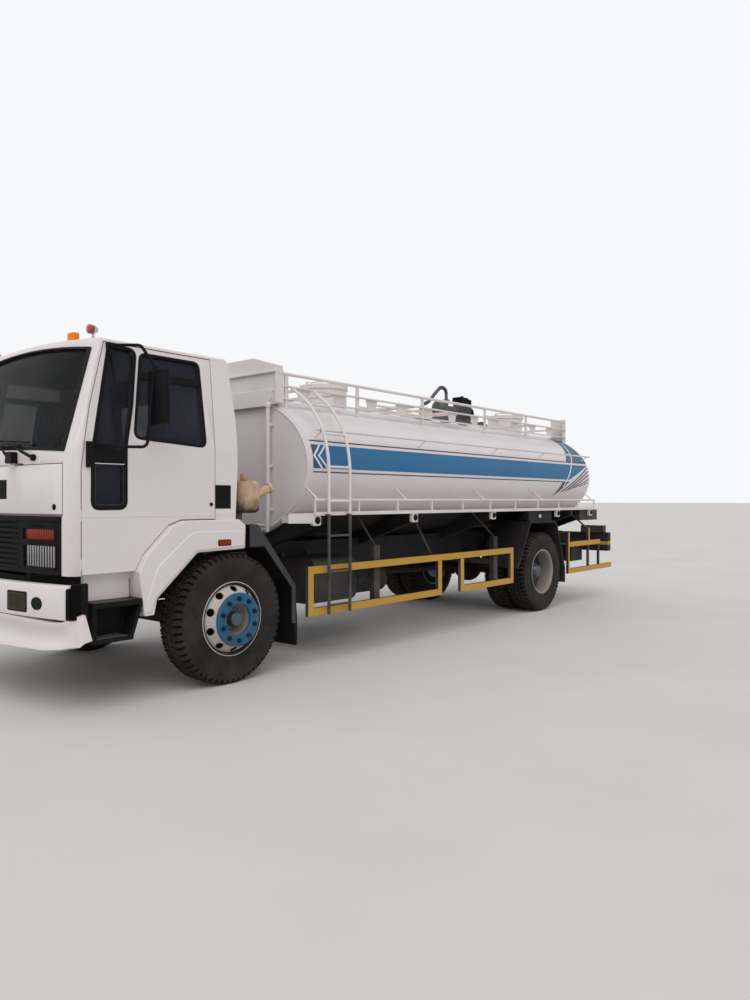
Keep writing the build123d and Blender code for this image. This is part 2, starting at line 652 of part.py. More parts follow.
# Axles, knuckles and springs
with BuildPart() as front_axle:
    for side in (-1, 1):
        rod(
            (side * KING_PIN_X, FRONT_AXLE_Y, TYRE_RADIUS - BOSS_HALF_HEIGHT),
            (side * KING_PIN_X, FRONT_AXLE_Y, TYRE_RADIUS + BOSS_HALF_HEIGHT), BOSS_RADIUS,
        )
    half_beam = AXLE_BEAM_HEIGHT / 2
    beam = mirrored([
        (KING_PIN_X, TYRE_RADIUS - half_beam), (KING_PIN_X - 120, TYRE_RADIUS - half_beam),
        (KING_PIN_X - 290, TYRE_RADIUS - half_beam - AXLE_DROP),
    ]) + mirrored([
        (KING_PIN_X, TYRE_RADIUS + half_beam), (KING_PIN_X - 110, TYRE_RADIUS + half_beam),
        (KING_PIN_X - 250, TYRE_RADIUS + half_beam - AXLE_DROP),
    ])[::-1]
    front_prism(beam, (FRONT_AXLE_Y - AXLE_BEAM_WIDTH / 2, FRONT_AXLE_Y + AXLE_BEAM_WIDTH / 2))
    for side in (-1, 1):
        ends = sorted((side * (RAIL_OUTER + 5), side * (RAIL_OUTER - SPRING_WIDTH - 10)))
        block(ends, (FRONT_AXLE_Y - 90, FRONT_AXLE_Y + 90), (TYRE_RADIUS - 30, TYRE_RADIUS + 24))
        with Locations((side * KING_PIN_X, FRONT_AXLE_Y, TYRE_RADIUS)):
            Cylinder(KING_PIN_RADIUS + KING_PIN_CLEARANCE, 2 * BOSS_HALF_HEIGHT + 2, mode=Mode.SUBTRACT)
finish(front_axle.part, "front_axle")

ARM_IN = BOSS_HALF_HEIGHT + KNUCKLE_GAP
ARM_OUT = ARM_IN + KNUCKLE_ARM
FORK_X = KING_PIN_X + BOSS_RADIUS + 8
FORK_BACK = 36
SPINDLE_END = WHEEL_X + 95
with BuildPart() as knuckle:
    rod((KING_PIN_X, FRONT_AXLE_Y, TYRE_RADIUS - ARM_OUT), (KING_PIN_X, FRONT_AXLE_Y, TYRE_RADIUS + ARM_OUT),
        KING_PIN_RADIUS)
    for low in (TYRE_RADIUS + ARM_IN, TYRE_RADIUS - ARM_OUT):
        rod((KING_PIN_X, FRONT_AXLE_Y, low), (KING_PIN_X, FRONT_AXLE_Y, low + KNUCKLE_ARM), BOSS_RADIUS)
        block((KING_PIN_X, FORK_X + FORK_BACK), (FRONT_AXLE_Y - BOSS_RADIUS, FRONT_AXLE_Y + BOSS_RADIUS),
              (low, low + KNUCKLE_ARM))
    block((FORK_X, FORK_X + FORK_BACK), (FRONT_AXLE_Y - BOSS_RADIUS, FRONT_AXLE_Y + BOSS_RADIUS),
          (TYRE_RADIUS - ARM_OUT, TYRE_RADIUS + ARM_OUT))
    rod((FORK_X + FORK_BACK, FRONT_AXLE_Y, TYRE_RADIUS), (SPINDLE_END, FRONT_AXLE_Y, TYRE_RADIUS), SPINDLE_RADIUS)
for name, side in SIDES:
    finish(on_side(knuckle.part, side), f"knuckle_{name}")

REAR_HUB_IN = 590
REAR_SPINDLE_END = 950
with BuildPart() as rear_axle:
    rod((-REAR_HUB_IN + 8, REAR_AXLE_Y, TYRE_RADIUS), (REAR_HUB_IN - 8, REAR_AXLE_Y, TYRE_RADIUS), REAR_TUBE_RADIUS)
    rod((-REAR_SPINDLE_END, REAR_AXLE_Y, TYRE_RADIUS), (REAR_SPINDLE_END, REAR_AXLE_Y, TYRE_RADIUS), SPINDLE_RADIUS)
    with Locations((0, REAR_AXLE_Y, TYRE_RADIUS)):
        Sphere(DIFFERENTIAL_RADIUS)
    rod((0, REAR_AXLE_Y - DIFFERENTIAL_RADIUS - 29, TYRE_RADIUS + 30), (0, REAR_AXLE_Y, TYRE_RADIUS + 30), 80)
finish(rear_axle.part, "rear_axle")


def spring(x, axle_y, seat_z, eye_z, side):
    """Leaf spring as one arched band under its hangers, in the active part."""
    ends = sorted((side * x[0], side * x[1]))
    with BuildSketch(Plane.YZ.offset(ends[0])) as leaf:
        with BuildLine():
            lower = ThreePointArc((axle_y - SPRING_HALF_LENGTH, eye_z), (axle_y, seat_z),
                                  (axle_y + SPRING_HALF_LENGTH, eye_z))
            Line(lower @ 1, (axle_y + SPRING_HALF_LENGTH, eye_z + SPRING_THICKNESS / 3))
            upper = ThreePointArc(
                (axle_y + SPRING_HALF_LENGTH, eye_z + SPRING_THICKNESS / 3), (axle_y, seat_z + SPRING_THICKNESS),
                (axle_y - SPRING_HALF_LENGTH, eye_z + SPRING_THICKNESS / 3),
            )
            Line(upper @ 1, lower @ 0)
        make_face()
    extrude(leaf.sketch, amount=ends[1] - ends[0])


SPRING_INNER = RAIL_OUTER - SPRING_WIDTH
REAR_SPRING_X = (RAIL_OUTER, RAIL_OUTER + SPRING_WIDTH)
HANGER_DROP = 58
REAR_HANGER_TOP = 820
with BuildPart() as leaf_springs:
    for side in (-1, 1):
        spring((SPRING_INNER, RAIL_OUTER), FRONT_AXLE_Y, TYRE_RADIUS + 24, 700, side)
        spring(REAR_SPRING_X, REAR_AXLE_Y, TYRE_RADIUS + REAR_TUBE_RADIUS + SEAT_CLEARANCE,
               REAR_HANGER_TOP - HANGER_DROP, side)
        for axle_y, width, top in (
            (FRONT_AXLE_Y, (SPRING_INNER, RAIL_OUTER), RAIL_TOP - RAIL_HEIGHT),
            (REAR_AXLE_Y, REAR_SPRING_X, REAR_HANGER_TOP),
        ):
            ends = sorted((side * width[0], side * width[1]))
            for way in (-1, 1):
                middle = axle_y + way * (SPRING_HALF_LENGTH - 30)
                block(ends, (middle - 30, middle + 30), (top - HANGER_DROP, top))
finish(leaf_springs.part, "leaf_springs")


# Wheels: rims and tyres are turned about the axle line

def turned(profile, axle_y, mode=Mode.ADD):
    """Solid of revolution about a wheel's axle line, from (x, radius) points, in the active part."""
    with BuildSketch(Plane(origin=(0, axle_y, TYRE_RADIUS), x_dir=(1, 0, 0), z_dir=(0, -1, 0))) as section:
        with BuildLine():
            Polyline(*profile, close=True)
        make_face()
    revolve(section.sketch, axis=Axis((0, axle_y, TYRE_RADIUS), (1, 0, 0)), revolution_arc=360, mode=mode)


def tyre_profile(centre):
    """Half section of a tyre about the axle, on its centre line at x."""
    half = [
        (TYRE_BEAD_HALF_WIDTH, TYRE_BEAD_RADIUS), (TYRE_BEAD_HALF_WIDTH, RIM_FLANGE_RADIUS + 1),
        (TYRE_BEAD_HALF_WIDTH + 16, TYRE_BEAD_RADIUS + 55),
        (TYRE_HALF_WIDTH, 415), (TYRE_HALF_WIDTH - 10, 490), (TYRE_HALF_WIDTH - TYRE_SHOULDER, TYRE_RADIUS - 7),
        (TYRE_HALF_WIDTH - 60, TYRE_RADIUS),
    ]
    return [(centre + x, r) for x, r in half] + [(centre - x, r) for x, r in reversed(half)]


def barrel_profile(centre):
    """Section of a rim's barrel with its two flanges."""
    edge = TYRE_BEAD_HALF_WIDTH + RIM_FLANGE_THICKNESS
    outside = [
        (edge, RIM_FLANGE_RADIUS), (TYRE_BEAD_HALF_WIDTH, RIM_FLANGE_RADIUS), (TYRE_BEAD_HALF_WIDTH, TYRE_BEAD_RADIUS),
    ]
    outside += [(-x, r) for x, r in reversed(outside)]
    inside = [(-edge, TYRE_BEAD_RADIUS - RIM_WALL), (edge, TYRE_BEAD_RADIUS - RIM_WALL)]
    return [(centre + x, r) for x, r in outside + inside]


def hand_holes(x, axle_y):
    """Round hand holes through a disc, in the active part."""
    with BuildSketch(Plane(origin=(x[0], axle_y, TYRE_RADIUS), x_dir=(0, 1, 0), z_dir=(1, 0, 0))) as holes:
        with PolarLocations(HAND_HOLE_CIRCLE, HAND_HOLES):
            Circle(HAND_HOLE_RADIUS)
    extrude(holes.sketch, amount=x[1] - x[0], mode=Mode.SUBTRACT)


BARREL_IN = TYRE_BEAD_RADIUS - RIM_WALL
FACE_X = WHEEL_X + DISC_OFFSET
with BuildPart() as front_tyre:
    turned(tyre_profile(WHEEL_X), FRONT_AXLE_Y)
with BuildPart() as front_rim:
    turned(barrel_profile(WHEEL_X), FRONT_AXLE_Y)
    turned([
        (WHEEL_X + 60, BARREL_IN + 1), (WHEEL_X + 60 + DISC_THICKNESS, BARREL_IN + 1), (WHEEL_X + 95, BARREL_IN - 14),
        (FACE_X, NUT_RING_RADIUS), (FACE_X, HUB_RADIUS - 1), (FACE_X - DISC_THICKNESS, HUB_RADIUS - 1),
        (FACE_X - DISC_THICKNESS, NUT_RING_RADIUS - 8), (WHEEL_X + 85, BARREL_IN - 24), (WHEEL_X + 60, BARREL_IN - 14),
    ], FRONT_AXLE_Y)
    hand_holes((WHEEL_X + 40, FACE_X + 20), FRONT_AXLE_Y)
    turned([
        (FORK_X + FORK_BACK + 6, 0), (FORK_X + FORK_BACK + 6, 92), (FACE_X - 60, 92), (FACE_X - 60, HUB_RADIUS),
        (FACE_X + HUB_STANDOUT - 14, HUB_RADIUS - 14), (FACE_X + HUB_STANDOUT, 66), (FACE_X + HUB_STANDOUT, 0),
    ], FRONT_AXLE_Y)
    rod((FORK_X, FRONT_AXLE_Y, TYRE_RADIUS), (SPINDLE_END + 0.5, FRONT_AXLE_Y, TYRE_RADIUS),
        SPINDLE_RADIUS + SPINDLE_CLEARANCE, Mode.SUBTRACT)
    turned([
        (FACE_X, NUT_RING_RADIUS - 8), (FACE_X + 16, NUT_RING_RADIUS - 12), (FACE_X + 16, HUB_RADIUS - 20),
        (FACE_X, HUB_RADIUS - 20),
    ], FRONT_AXLE_Y)

TWIN_INNER_X = WHEEL_X - TWIN_SPACING
TWIN_MIDDLE = (WHEEL_X + TWIN_INNER_X) / 2
with BuildPart() as rear_tyres:
    turned(tyre_profile(WHEEL_X), REAR_AXLE_Y)
    turned(tyre_profile(TWIN_INNER_X), REAR_AXLE_Y)
with BuildPart() as rear_rim:
    turned(barrel_profile(WHEEL_X), REAR_AXLE_Y)
    turned(barrel_profile(TWIN_INNER_X), REAR_AXLE_Y)
    for way, centre in ((1, WHEEL_X), (-1, TWIN_INNER_X)):
        turned([
            (TWIN_MIDDLE, HUB_RADIUS - 1), (TWIN_MIDDLE, NUT_RING_RADIUS),
            (centre - way * 95, BARREL_IN - 14), (centre - way * 60, BARREL_IN + 1),
            (centre - way * 45, BARREL_IN + 1), (centre - way * 85, BARREL_IN - 26),
            (TWIN_MIDDLE + way * DISC_THICKNESS, NUT_RING_RADIUS - 8),
            (TWIN_MIDDLE + way * DISC_THICKNESS, HUB_RADIUS - 1),
        ], REAR_AXLE_Y)
    hand_holes((TWIN_INNER_X, WHEEL_X), REAR_AXLE_Y)
    turned([
        (REAR_HUB_IN, 0), (REAR_HUB_IN, 190), (REAR_HUB_IN + 160, 190), (REAR_HUB_IN + 170, HUB_RADIUS),
        (WHEEL_X + 20, HUB_RADIUS), (WHEEL_X + 62, HUB_RADIUS - 22), (WHEEL_X + 72, 0),
    ], REAR_AXLE_Y)
    rod((REAR_HUB_IN - 10, REAR_AXLE_Y, TYRE_RADIUS), (REAR_SPINDLE_END + 1, REAR_AXLE_Y, TYRE_RADIUS),
        SPINDLE_RADIUS + SPINDLE_CLEARANCE, Mode.SUBTRACT)

for name, side in SIDES:
    finish(on_side(front_tyre.part, side), f"tyre_front_{name}")
    finish(on_side(front_rim.part, side), f"rim_front_{name}")
    finish(on_side(rear_tyres.part, side), f"tyres_rear_{name}")
    finish(on_side(rear_rim.part, side), f"rims_rear_{name}")


# Bumper, lip and black corners
def bow(x, station, crown):
    """Ends and middle of a front arc across the truck."""
    return (x, at(station)), (0, at(crown)), (-x, at(station))


with BuildPart() as front_bumper:
    with BuildSketch(Plane.XY.offset(BUMPER_BOTTOM)) as beam_plan:
        with BuildLine():
            face = ThreePointArc(*bow(BUMPER_HALF_WIDTH, BUMPER_CORNER_STATION, -FRONT_OVERHANG))
            back = ThreePointArc(
                *bow(BUMPER_HALF_WIDTH, BUMPER_CORNER_STATION + BUMPER_DEPTH, -FRONT_OVERHANG + BUMPER_DEPTH)
            )
            Line(face @ 0, back @ 0)
            Line(face @ 1, back @ 1)
        make_face()
    extrude(amount=BUMPER_TOP - BUMPER_BOTTOM)
    with BuildSketch(Plane.XY.offset(LIP_BOTTOM)) as lip_plan:
        with BuildLine():
            face = ThreePointArc(*bow(BUMPER_HALF_WIDTH - 5, BUMPER_CORNER_STATION + 4, -FRONT_OVERHANG))
            back = ThreePointArc(*bow(BUMPER_HALF_WIDTH - 35, BUMPER_CORNER_STATION + 55, -FRONT_OVERHANG + 55))
            for end, side in ((0, 1), (1, -1)):
                outer, inner = side * FENDER_OUTER, side * (FENDER_OUTER - 40)
                Polyline(
                    face @ end, (outer, at(-1300)), (outer, at(-1243)), (inner, at(-1243)), (inner, at(-1290)),
                    back @ end,
                )
        make_face()
    extrude(amount=LIP_TOP - LIP_BOTTOM)
    block((190 - BUMPER_HALF_WIDTH, BUMPER_HALF_WIDTH - 190), (at(-1430), at(-1400)),
          (LIP_TOP - 20, BUMPER_BOTTOM + 20))
finish(front_bumper.part, "front_bumper")

CORNER_OUTER = BUMPER_HALF_WIDTH + 100
with BuildPart() as bumper_corner:
    plan_prism(
        [
            (BUMPER_HALF_WIDTH, at(BUMPER_CORNER_STATION)), (BUMPER_HALF_WIDTH + 60, at(-1372)),
            (CORNER_OUTER, at(-1320)), (CORNER_OUTER, at(-1262)), (CORNER_OUTER - 60, at(-1262)),
            (CORNER_OUTER - 60, at(-1300)),
            (BUMPER_HALF_WIDTH, at(BUMPER_CORNER_STATION + BUMPER_DEPTH)),
        ],
        (BUMPER_BOTTOM, BUMPER_TOP - 12),
    )
finish(both_sides(bumper_corner.part), "bumper_corners")

# Black rear halves of the front mudguards, on a bracket from the frame
MUDGUARD_OUTLINE = stations([
    (172, 1285), (255, 1262), (691, 758), (715, 419), (715, 210), (692, 210), (675, 419), (652, 717), (340, 1083),
    (172, 1090),
])
with BuildPart() as mudguard:
    side_prism(MUDGUARD_OUTLINE, (FENDER_INNER, GUARD_X))
    block((RAIL_OUTER, FENDER_INNER), (at(200), at(260)), (1120, 1160))
    block((RAIL_OUTER, RAIL_OUTER + 20), (at(190), at(270)), (820, 1160))
finish(both_sides(mudguard.part), "front_mudguards")

# Rear fenders, hung from the tray
ARCH_OUT = [(-716, 620), (-652, 725), (-378, 1205), (301, 1205), (390, 1148), (624, 551), (624, 335)]
ARCH_IN = [(600, 335), (600, 545), (368, 1128), (292, 1180), (-364, 1180), (-631, 714), (-695, 611)]
with BuildPart() as rear_hood:
    side_prism([(REAR_AXLE_Y + distance, z) for distance, z in ARCH_OUT + ARCH_IN], (640, 1215))
    block((1150, 1190), (REAR_AXLE_Y - 380, REAR_AXLE_Y + 260), (1205, TRAY_TOP - TRAY_THICKNESS))
finish(both_sides(rear_hood.part), "rear_fenders")

# Tank shell with manhole necks
TANK_MIDDLE = (TANK_FRONT + TANK_REAR) / 2


def tank_prism(grow, y, mode=Mode.ADD):
    """Elliptical prism of the tank's section, grown outwards, between two values of y."""
    with BuildSketch(Plane.XZ.offset(-y[0])) as section:
        with Locations((0, TANK_CENTRE_Z)):
            Ellipse(TANK_HALF_WIDTH + grow, TANK_HALF_HEIGHT + grow)
    extrude(section.sketch, amount=-(y[1] - y[0]), mode=mode)


with BuildPart() as tank_shell:
    tank_prism(0, (at(TANK_FRONT), at(TANK_REAR)))
    fillet(tank_shell.edges().group_by(Axis.Y)[0], TANK_EDGE / 2)
    fillet(tank_shell.edges().group_by(Axis.Y)[-1], TANK_EDGE)
    for station in MANHOLE_STATIONS:
        rod((0, at(station), TANK_CENTRE_Z), (0, at(station), MANHOLE_TOP), MANHOLE_RADIUS)
        block((-60, 60), (at(station) + MANHOLE_RADIUS - 30, at(station) + MANHOLE_RADIUS + 60), (2480, MANHOLE_TOP))
        block((-60, 60), (at(station) + MANHOLE_RADIUS + 28, at(station) + MANHOLE_RADIUS + 60),
              (MANHOLE_TOP - 20, MANHOLE_TOP + LID_THICKNESS / 2 - LID_BARREL - SEAT_CLEARANCE))
finish(tank_shell.part, "tank_shell")

for number, station in enumerate(MANHOLE_STATIONS, 1):
    with BuildPart() as lid:
        rod((0, at(station), MANHOLE_TOP + 0.3), (0, at(station), MANHOLE_TOP + LID_THICKNESS), MANHOLE_RADIUS + 14)
        hinge_z = MANHOLE_TOP + LID_THICKNESS / 2
        hinge_y = at(station) + MANHOLE_RADIUS + 40
        block((-50, 50), (at(station) + MANHOLE_RADIUS - 20, hinge_y), (hinge_z, hinge_z + 10))
        rod((-50, hinge_y, hinge_z), (50, hinge_y, hinge_z), LID_BARREL)
    finish(lid.part, f"manhole_lid_{number}")

# Cradle: two long members on the frame, saddles and outriggers under the shell
with BuildPart() as tank_cradle:
    for side in (-1, 1):
        ends = sorted((side * RAIL_OUTER, side * (RAIL_OUTER - RAIL_WIDTH)))
        block(ends, (at(TANK_FRONT), at(TANK_REAR + 40)), (RAIL_TOP, SUBFRAME_TOP))
    for station in SADDLE_STATIONS:
        front_prism(
            mirrored([
                (RAIL_OUTER, RAIL_TOP), (TRAY_OUTER - 20, 1270), (TRAY_OUTER - 20, TRAY_TOP - TRAY_THICKNESS),
                (860, TRAY_TOP - TRAY_THICKNESS), (700, TRAY_TOP - TRAY_THICKNESS),
            ]),
            (at(station) - SADDLE_THICKNESS / 2, at(station) + SADDLE_THICKNESS / 2),
        )
    tank_prism(SEAT_CLEARANCE, (at(TANK_FRONT) - 100, at(TANK_REAR) + 200), mode=Mode.SUBTRACT)
finish(tank_cradle.part, "tank_cradle")

# Hose trays along both flanks, with a white box under each front end
RAIL_X = TRAY_OUTER - 16
TRAY_LOW = TRAY_TOP - TRAY_THICKNESS
with BuildPart() as tray:
    block((TANK_HALF_WIDTH - 290, TRAY_OUTER), (at(TRAY_FRONT), at(TANK_REAR)), (TRAY_LOW, TRAY_TOP))
    block((TRAY_OUTER - 8, TRAY_OUTER), (at(TRAY_FRONT), at(TANK_REAR)), (TRAY_LOW, TRAY_TOP + 14))
    block((TRAY_OUTER - 155, TRAY_OUTER - 20), (at(640), at(SADDLE_STATIONS[0] - SADDLE_THICKNESS / 2)), (1285, TRAY_LOW))
    rod((RAIL_X, at(TRAY_FRONT), TRAY_RAIL_Z), (RAIL_X, at(TANK_REAR), TRAY_RAIL_Z), 12)
    post_pitch = (TRAY_POST_LAST - TRAY_POST_FIRST) / (TRAY_POST_COUNT - 1)
    posts = [TRAY_POST_FIRST + number * post_pitch for number in range(TRAY_POST_COUNT)]
    for station in (TRAY_FRONT + 8, *posts, TANK_REAR - 8):
        block((RAIL_X - 8, RAIL_X + 8), (at(station) - 8, at(station) + 8), (TRAY_TOP - 4, TRAY_RAIL_Z))
    for station in TRAY_STAYS:
        rod((RAIL_X, at(station), TRAY_RAIL_Z), (1080, at(station) - 40, 1620), 9)
    tank_prism(SEAT_CLEARANCE, (at(TANK_FRONT) - 300, at(TANK_REAR) + 200), mode=Mode.SUBTRACT)
finish(both_sides(tray.part), "hose_trays")

# Walkway: lattice sides, handrails and end boards
GUSSETS = 11
GUSSET_FIRST = TANK_FRONT + 320
GUSSET_PITCH = (TANK_REAR - 520 - GUSSET_FIRST) / (GUSSETS - 1)
PUMP_REAR = TANK_REAR - 1340
PUMP_FRONT = PUMP_REAR - 1500
with BuildPart() as lattice:
    for z in (WALKWAY_LOW, WALKWAY_HIGH):
        block((WALKWAY_X - 20, WALKWAY_X + 20), (at(TANK_FRONT + 30), at(TANK_REAR - 20)), (z - 14, z))
    rod((WALKWAY_X, at(TANK_FRONT - 20), HANDRAIL_Z), (WALKWAY_X, at(TANK_REAR - 20), HANDRAIL_Z), 16)
    for station in WALKWAY_POSTS:
        block((WALKWAY_X - 8, WALKWAY_X + 8), (at(station) - 22, at(station) + 22), (2300, HANDRAIL_Z))
    for number in range(GUSSETS):
        middle = GUSSET_FIRST + number * GUSSET_PITCH
        side_prism(
            stations([
                (middle - 60, WALKWAY_LOW - 4), (middle + 60, WALKWAY_LOW - 4), (middle + 95, WALKWAY_HIGH - 4),
                (middle - 95, WALKWAY_HIGH - 4),
            ]), (WALKWAY_X - 16, WALKWAY_X - 8),
        )
    block((WALKWAY_X - 230, WALKWAY_X + 5), (at(TANK_REAR - 40), at(TANK_REAR - 10)), (2300, 2720))

with BuildPart() as walkway:
    add(both_sides(lattice.part))
    front_prism(
        mirrored([(WALKWAY_X, 2390), (WALKWAY_X, 2751), (430, 2847)]), (at(TANK_FRONT - 48), at(TANK_FRONT + 40)),
    )
    tank_prism(SEAT_CLEARANCE, (at(TANK_FRONT) - 300, at(TANK_REAR) + 200), mode=Mode.SUBTRACT)
    for station in (TANK_FRONT + 780, TANK_FRONT + 2080, PUMP_FRONT - 140, PUMP_REAR + 260):
        block((-WALKWAY_X, WALKWAY_X), (at(station) - 20, at(station) + 20), (2545, WALKWAY_HIGH))
finish(walkway.part, "walkway")

with BuildPart() as head_pipe:
    rod((570, at(TANK_FRONT - 60), 1190), (570, at(TANK_FRONT - 60), 2420), 28)
    for z in (1400, 1810, 2200):
        block((550, 590), (at(TANK_FRONT - 60), at(TANK_FRONT) - SEAT_CLEARANCE), (z - 20, z + 20))
finish(head_pipe.part, "head_pipe")

# Ladder on the left flank, bent over the shell to the walkway
LADDER_X = TRAY_OUTER + 35
LADDER_RAILS = (TANK_FRONT + 84, TANK_FRONT + 371)
LADDER_PATH = (
    (LADDER_X, 450), (LADDER_X, 1900), (TANK_HALF_WIDTH + 45, 2150), (TANK_HALF_WIDTH - 140, 2390),
    (WALKWAY_X + 45, 2540),
)
with BuildPart() as ladder:
    for station in LADDER_RAILS:
        with BuildLine() as rail:
            FilletPolyline(*[(x, at(station), z) for x, z in LADDER_PATH], radius=120)
        with BuildSketch(Plane(origin=rail.line @ 0, z_dir=rail.line % 0)):
            Circle(16)
        sweep()
        block((WALKWAY_X + 21, 830), (at(station) - 12, at(station) + 12), (2520, 2545))
        block((TRAY_OUTER + 0.3, LADDER_X), (at(station) - 12, at(station) + 12), (1346, 1366))
    for number in range(5):
        z = 490 + number * 345
        rod((LADDER_X, at(LADDER_RAILS[0]), z), (LADDER_X, at(LADDER_RAILS[1]), z), 13)
    for x, z in ((1165, 2187), (985, 2407)):
        rod((x, at(LADDER_RAILS[0]), z), (x, at(LADDER_RAILS[1]), z), 13)
finish(ladder.part, "ladder")

# Motor pump on the walkway
PUMP_FLOOR = 2570
TANK_TOP = TANK_CENTRE_Z + TANK_HALF_HEIGHT
with BuildPart() as pump_unit:
    front = at(PUMP_FRONT)
    block((-230, 230), (front + 260, at(PUMP_REAR)), (TANK_TOP + SEAT_CLEARANCE, PUMP_FLOOR + 20))
    block((-150, 150), (front + 1050, at(PUMP_REAR) - 40), (PUMP_FLOOR, 2940))
    rod((0, front + 440, 2760), (0, front + 830, 2760), 130)
    rod((0, front + 830, 2760), (0, front + 1060, 2760), 60)
    block((-110, 110), (front + 460, front + 810), (PUMP_FLOOR, 2760))
    with BuildLine() as hose:
        FilletPolyline((0, front + 660, 2880), (0, front + 660, 3010), (0, front + 410, 3010), (0, front + 110, 2700),
                       (0, front + 50, 2560), radius=80)
    with BuildSketch(Plane(origin=hose.line @ 0, z_dir=hose.line % 0)):
        Circle(34)
    sweep()
    block((-60, 60), (front, front + 270), (TANK_TOP + SEAT_CLEARANCE, PUMP_FLOOR + 20))
finish(pump_unit.part, "pump_unit")

with BuildPart() as expansion_tank:
    block((760, 1060), (at(170), at(420)), (1376, 1650))
    fillet(expansion_tank.edges(), 45)
    rod((985, at(290), 1630), (985, at(290), 1706), 34)
    rod((985, at(390), 1520), (1024, at(530), 1588), 38)
    rod((1024, at(530), 1588), (1030, at(556), 1600), 48)
    block((RAIL_INNER, 900), (at(260), at(340)), (1316, 1378))
    block((RAIL_INNER, RAIL_OUTER), (at(260), at(340)), (RAIL_TOP, 1330))
finish(expansion_tank.part, "expansion_tank")

# Tanks and boxes hung on the frame
with BuildPart() as fuel_tank:
    block((RAIL_OUTER + 12, 1010), (at(1120), at(1720)), (500, 930))
    fillet(fuel_tank.edges().filter_by(Axis.Y), 90)
    for station in (1240, 1600):
        block((RAIL_OUTER, RAIL_OUTER + 30), (at(station) - 30, at(station) + 30), (560, 960))
finish(fuel_tank.part, "fuel_tank")

with BuildPart() as air_tanks:
    rod((700, at(1790), 640), (700, at(2420), 640), 135)
    block((RAIL_OUTER, 700), (at(2060), at(2150)), (740, 800))
    block((-1000, -RAIL_OUTER - 12), (at(1120), at(1800)), (560, 930))
    block((-RAIL_OUTER - 12, -RAIL_OUTER), (at(1200), at(1720)), (780, 860))
    rod((-700, at(2000), 640), (-700, at(2900), 640), 150)
    block((-700, -RAIL_OUTER), (at(2400), at(2500)), (740, 800))
finish(air_tanks.part, "air_tanks")

# Yellow guards with their dark stays to the frame
GUARD_ACROSS = (GUARD_X - GUARD_THICKNESS / 2, GUARD_X + GUARD_THICKNESS / 2)
LOW_BAR = (GUARD_LOW - GUARD_BAR / 2, GUARD_LOW + GUARD_BAR / 2)
HIGH_BAR = (GUARD_HIGH - GUARD_BAR / 2, GUARD_HIGH + GUARD_BAR / 2)
GUARD_FRONT = 832
GUARD_REAR = WHEELBASE - 855
REAR_GUARD = (WHEELBASE + 720, RAIL_REAR - 380)
with BuildPart() as guard:
    block(GUARD_ACROSS, (at(GUARD_FRONT), at(GUARD_REAR)), HIGH_BAR)
    for front, rear in ((GUARD_FRONT, GUARD_REAR - 1558), (GUARD_REAR - 1180, GUARD_REAR)):
        block(GUARD_ACROSS, (at(front), at(rear)), LOW_BAR)
        for station in (front, rear - GUARD_BAR):
            block(GUARD_ACROSS, (at(station), at(station + GUARD_BAR)), (LOW_BAR[0], HIGH_BAR[1]))
    for station in (GUARD_FRONT + 1218, GUARD_REAR - 345):
        block((1150, 1181), (at(station), at(station + 60)), (LOW_BAR[0], TRAY_LOW - 60))
        block((RAIL_OUTER, 1151), (at(station), at(station + 60)), (850, 900))
    block(GUARD_ACROSS, (at(REAR_GUARD[0]), at(REAR_GUARD[1])), HIGH_BAR)
    block(GUARD_ACROSS, (at(REAR_GUARD[0]), at(RAIL_REAR + 40)), LOW_BAR)
    for station, top in ((REAR_GUARD[0], 1026), (REAR_GUARD[1] - 390, 1078), (REAR_GUARD[1] - 40, 890)):
        block(GUARD_ACROSS, (at(station), at(station + 40)), (LOW_BAR[0], top))
    block((RAIL_OUTER, GUARD_X - 19), (at(REAR_GUARD[1] - 385), at(REAR_GUARD[1] - 355)), (850, 890))
finish(both_sides(guard.part), "side_guards")

REAR_END = WHEELBASE + REAR_OVERHANG
with BuildPart() as rear_bumper:
    block((-1150, 1150), (at(REAR_END - 110), at(REAR_END)), (684, 974))
    for side in (-1, 1):
        ends = sorted((side * RAIL_OUTER, side * (RAIL_OUTER - RAIL_WIDTH)))
        block(ends, (at(RAIL_REAR), at(REAR_END - 110)), (740, 960))
        ends = sorted((side * 560, side * 1140))
        block(ends, (at(RAIL_REAR - 1170), at(RAIL_REAR - 810)), (600, 840))
        ends = sorted((side * RAIL_OUTER, side * 561))
        block(ends, (at(RAIL_REAR - 1050), at(RAIL_REAR - 970)), (760, 820))
finish(rear_bumper.part, "rear_bumper")

with BuildPart() as rear_lamps:
    for x in (-900, 900):
        block((x - 190, x + 190), (at(REAR_END - 140), at(REAR_END - 40)), (974, 1084))
finish(rear_lamps.part, "rear_lamps")

# Outlet pipe with its valve at the rear
OUTLET_RADIUS = 57
OUTLET_BORE = 50
with BuildPart() as outlet_pipe:
    rod((0, at(TANK_REAR) + SEAT_CLEARANCE, 1240), (0, at(TANK_REAR + 300), 1240), OUTLET_RADIUS)
    rod((0, at(TANK_REAR + 140), 1240), (0, at(TANK_REAR + 160), 1240), 95)
    rod((0, at(TANK_REAR + 20), 1240), (0, at(TANK_REAR + 301), 1240), OUTLET_BORE, Mode.SUBTRACT)
    rod((0, at(TANK_REAR + 150), 1320), (0, at(TANK_REAR + 150), 1420), 14)
    rod((0, at(TANK_REAR + 150), 1420), (0, at(TANK_REAR + 150), 1436), 80)
finish(outlet_pipe.part, "outlet_pipe")
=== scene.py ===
"""Looks of the two-axle tanker truck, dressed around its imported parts. Metres, in the same frame."""

import math

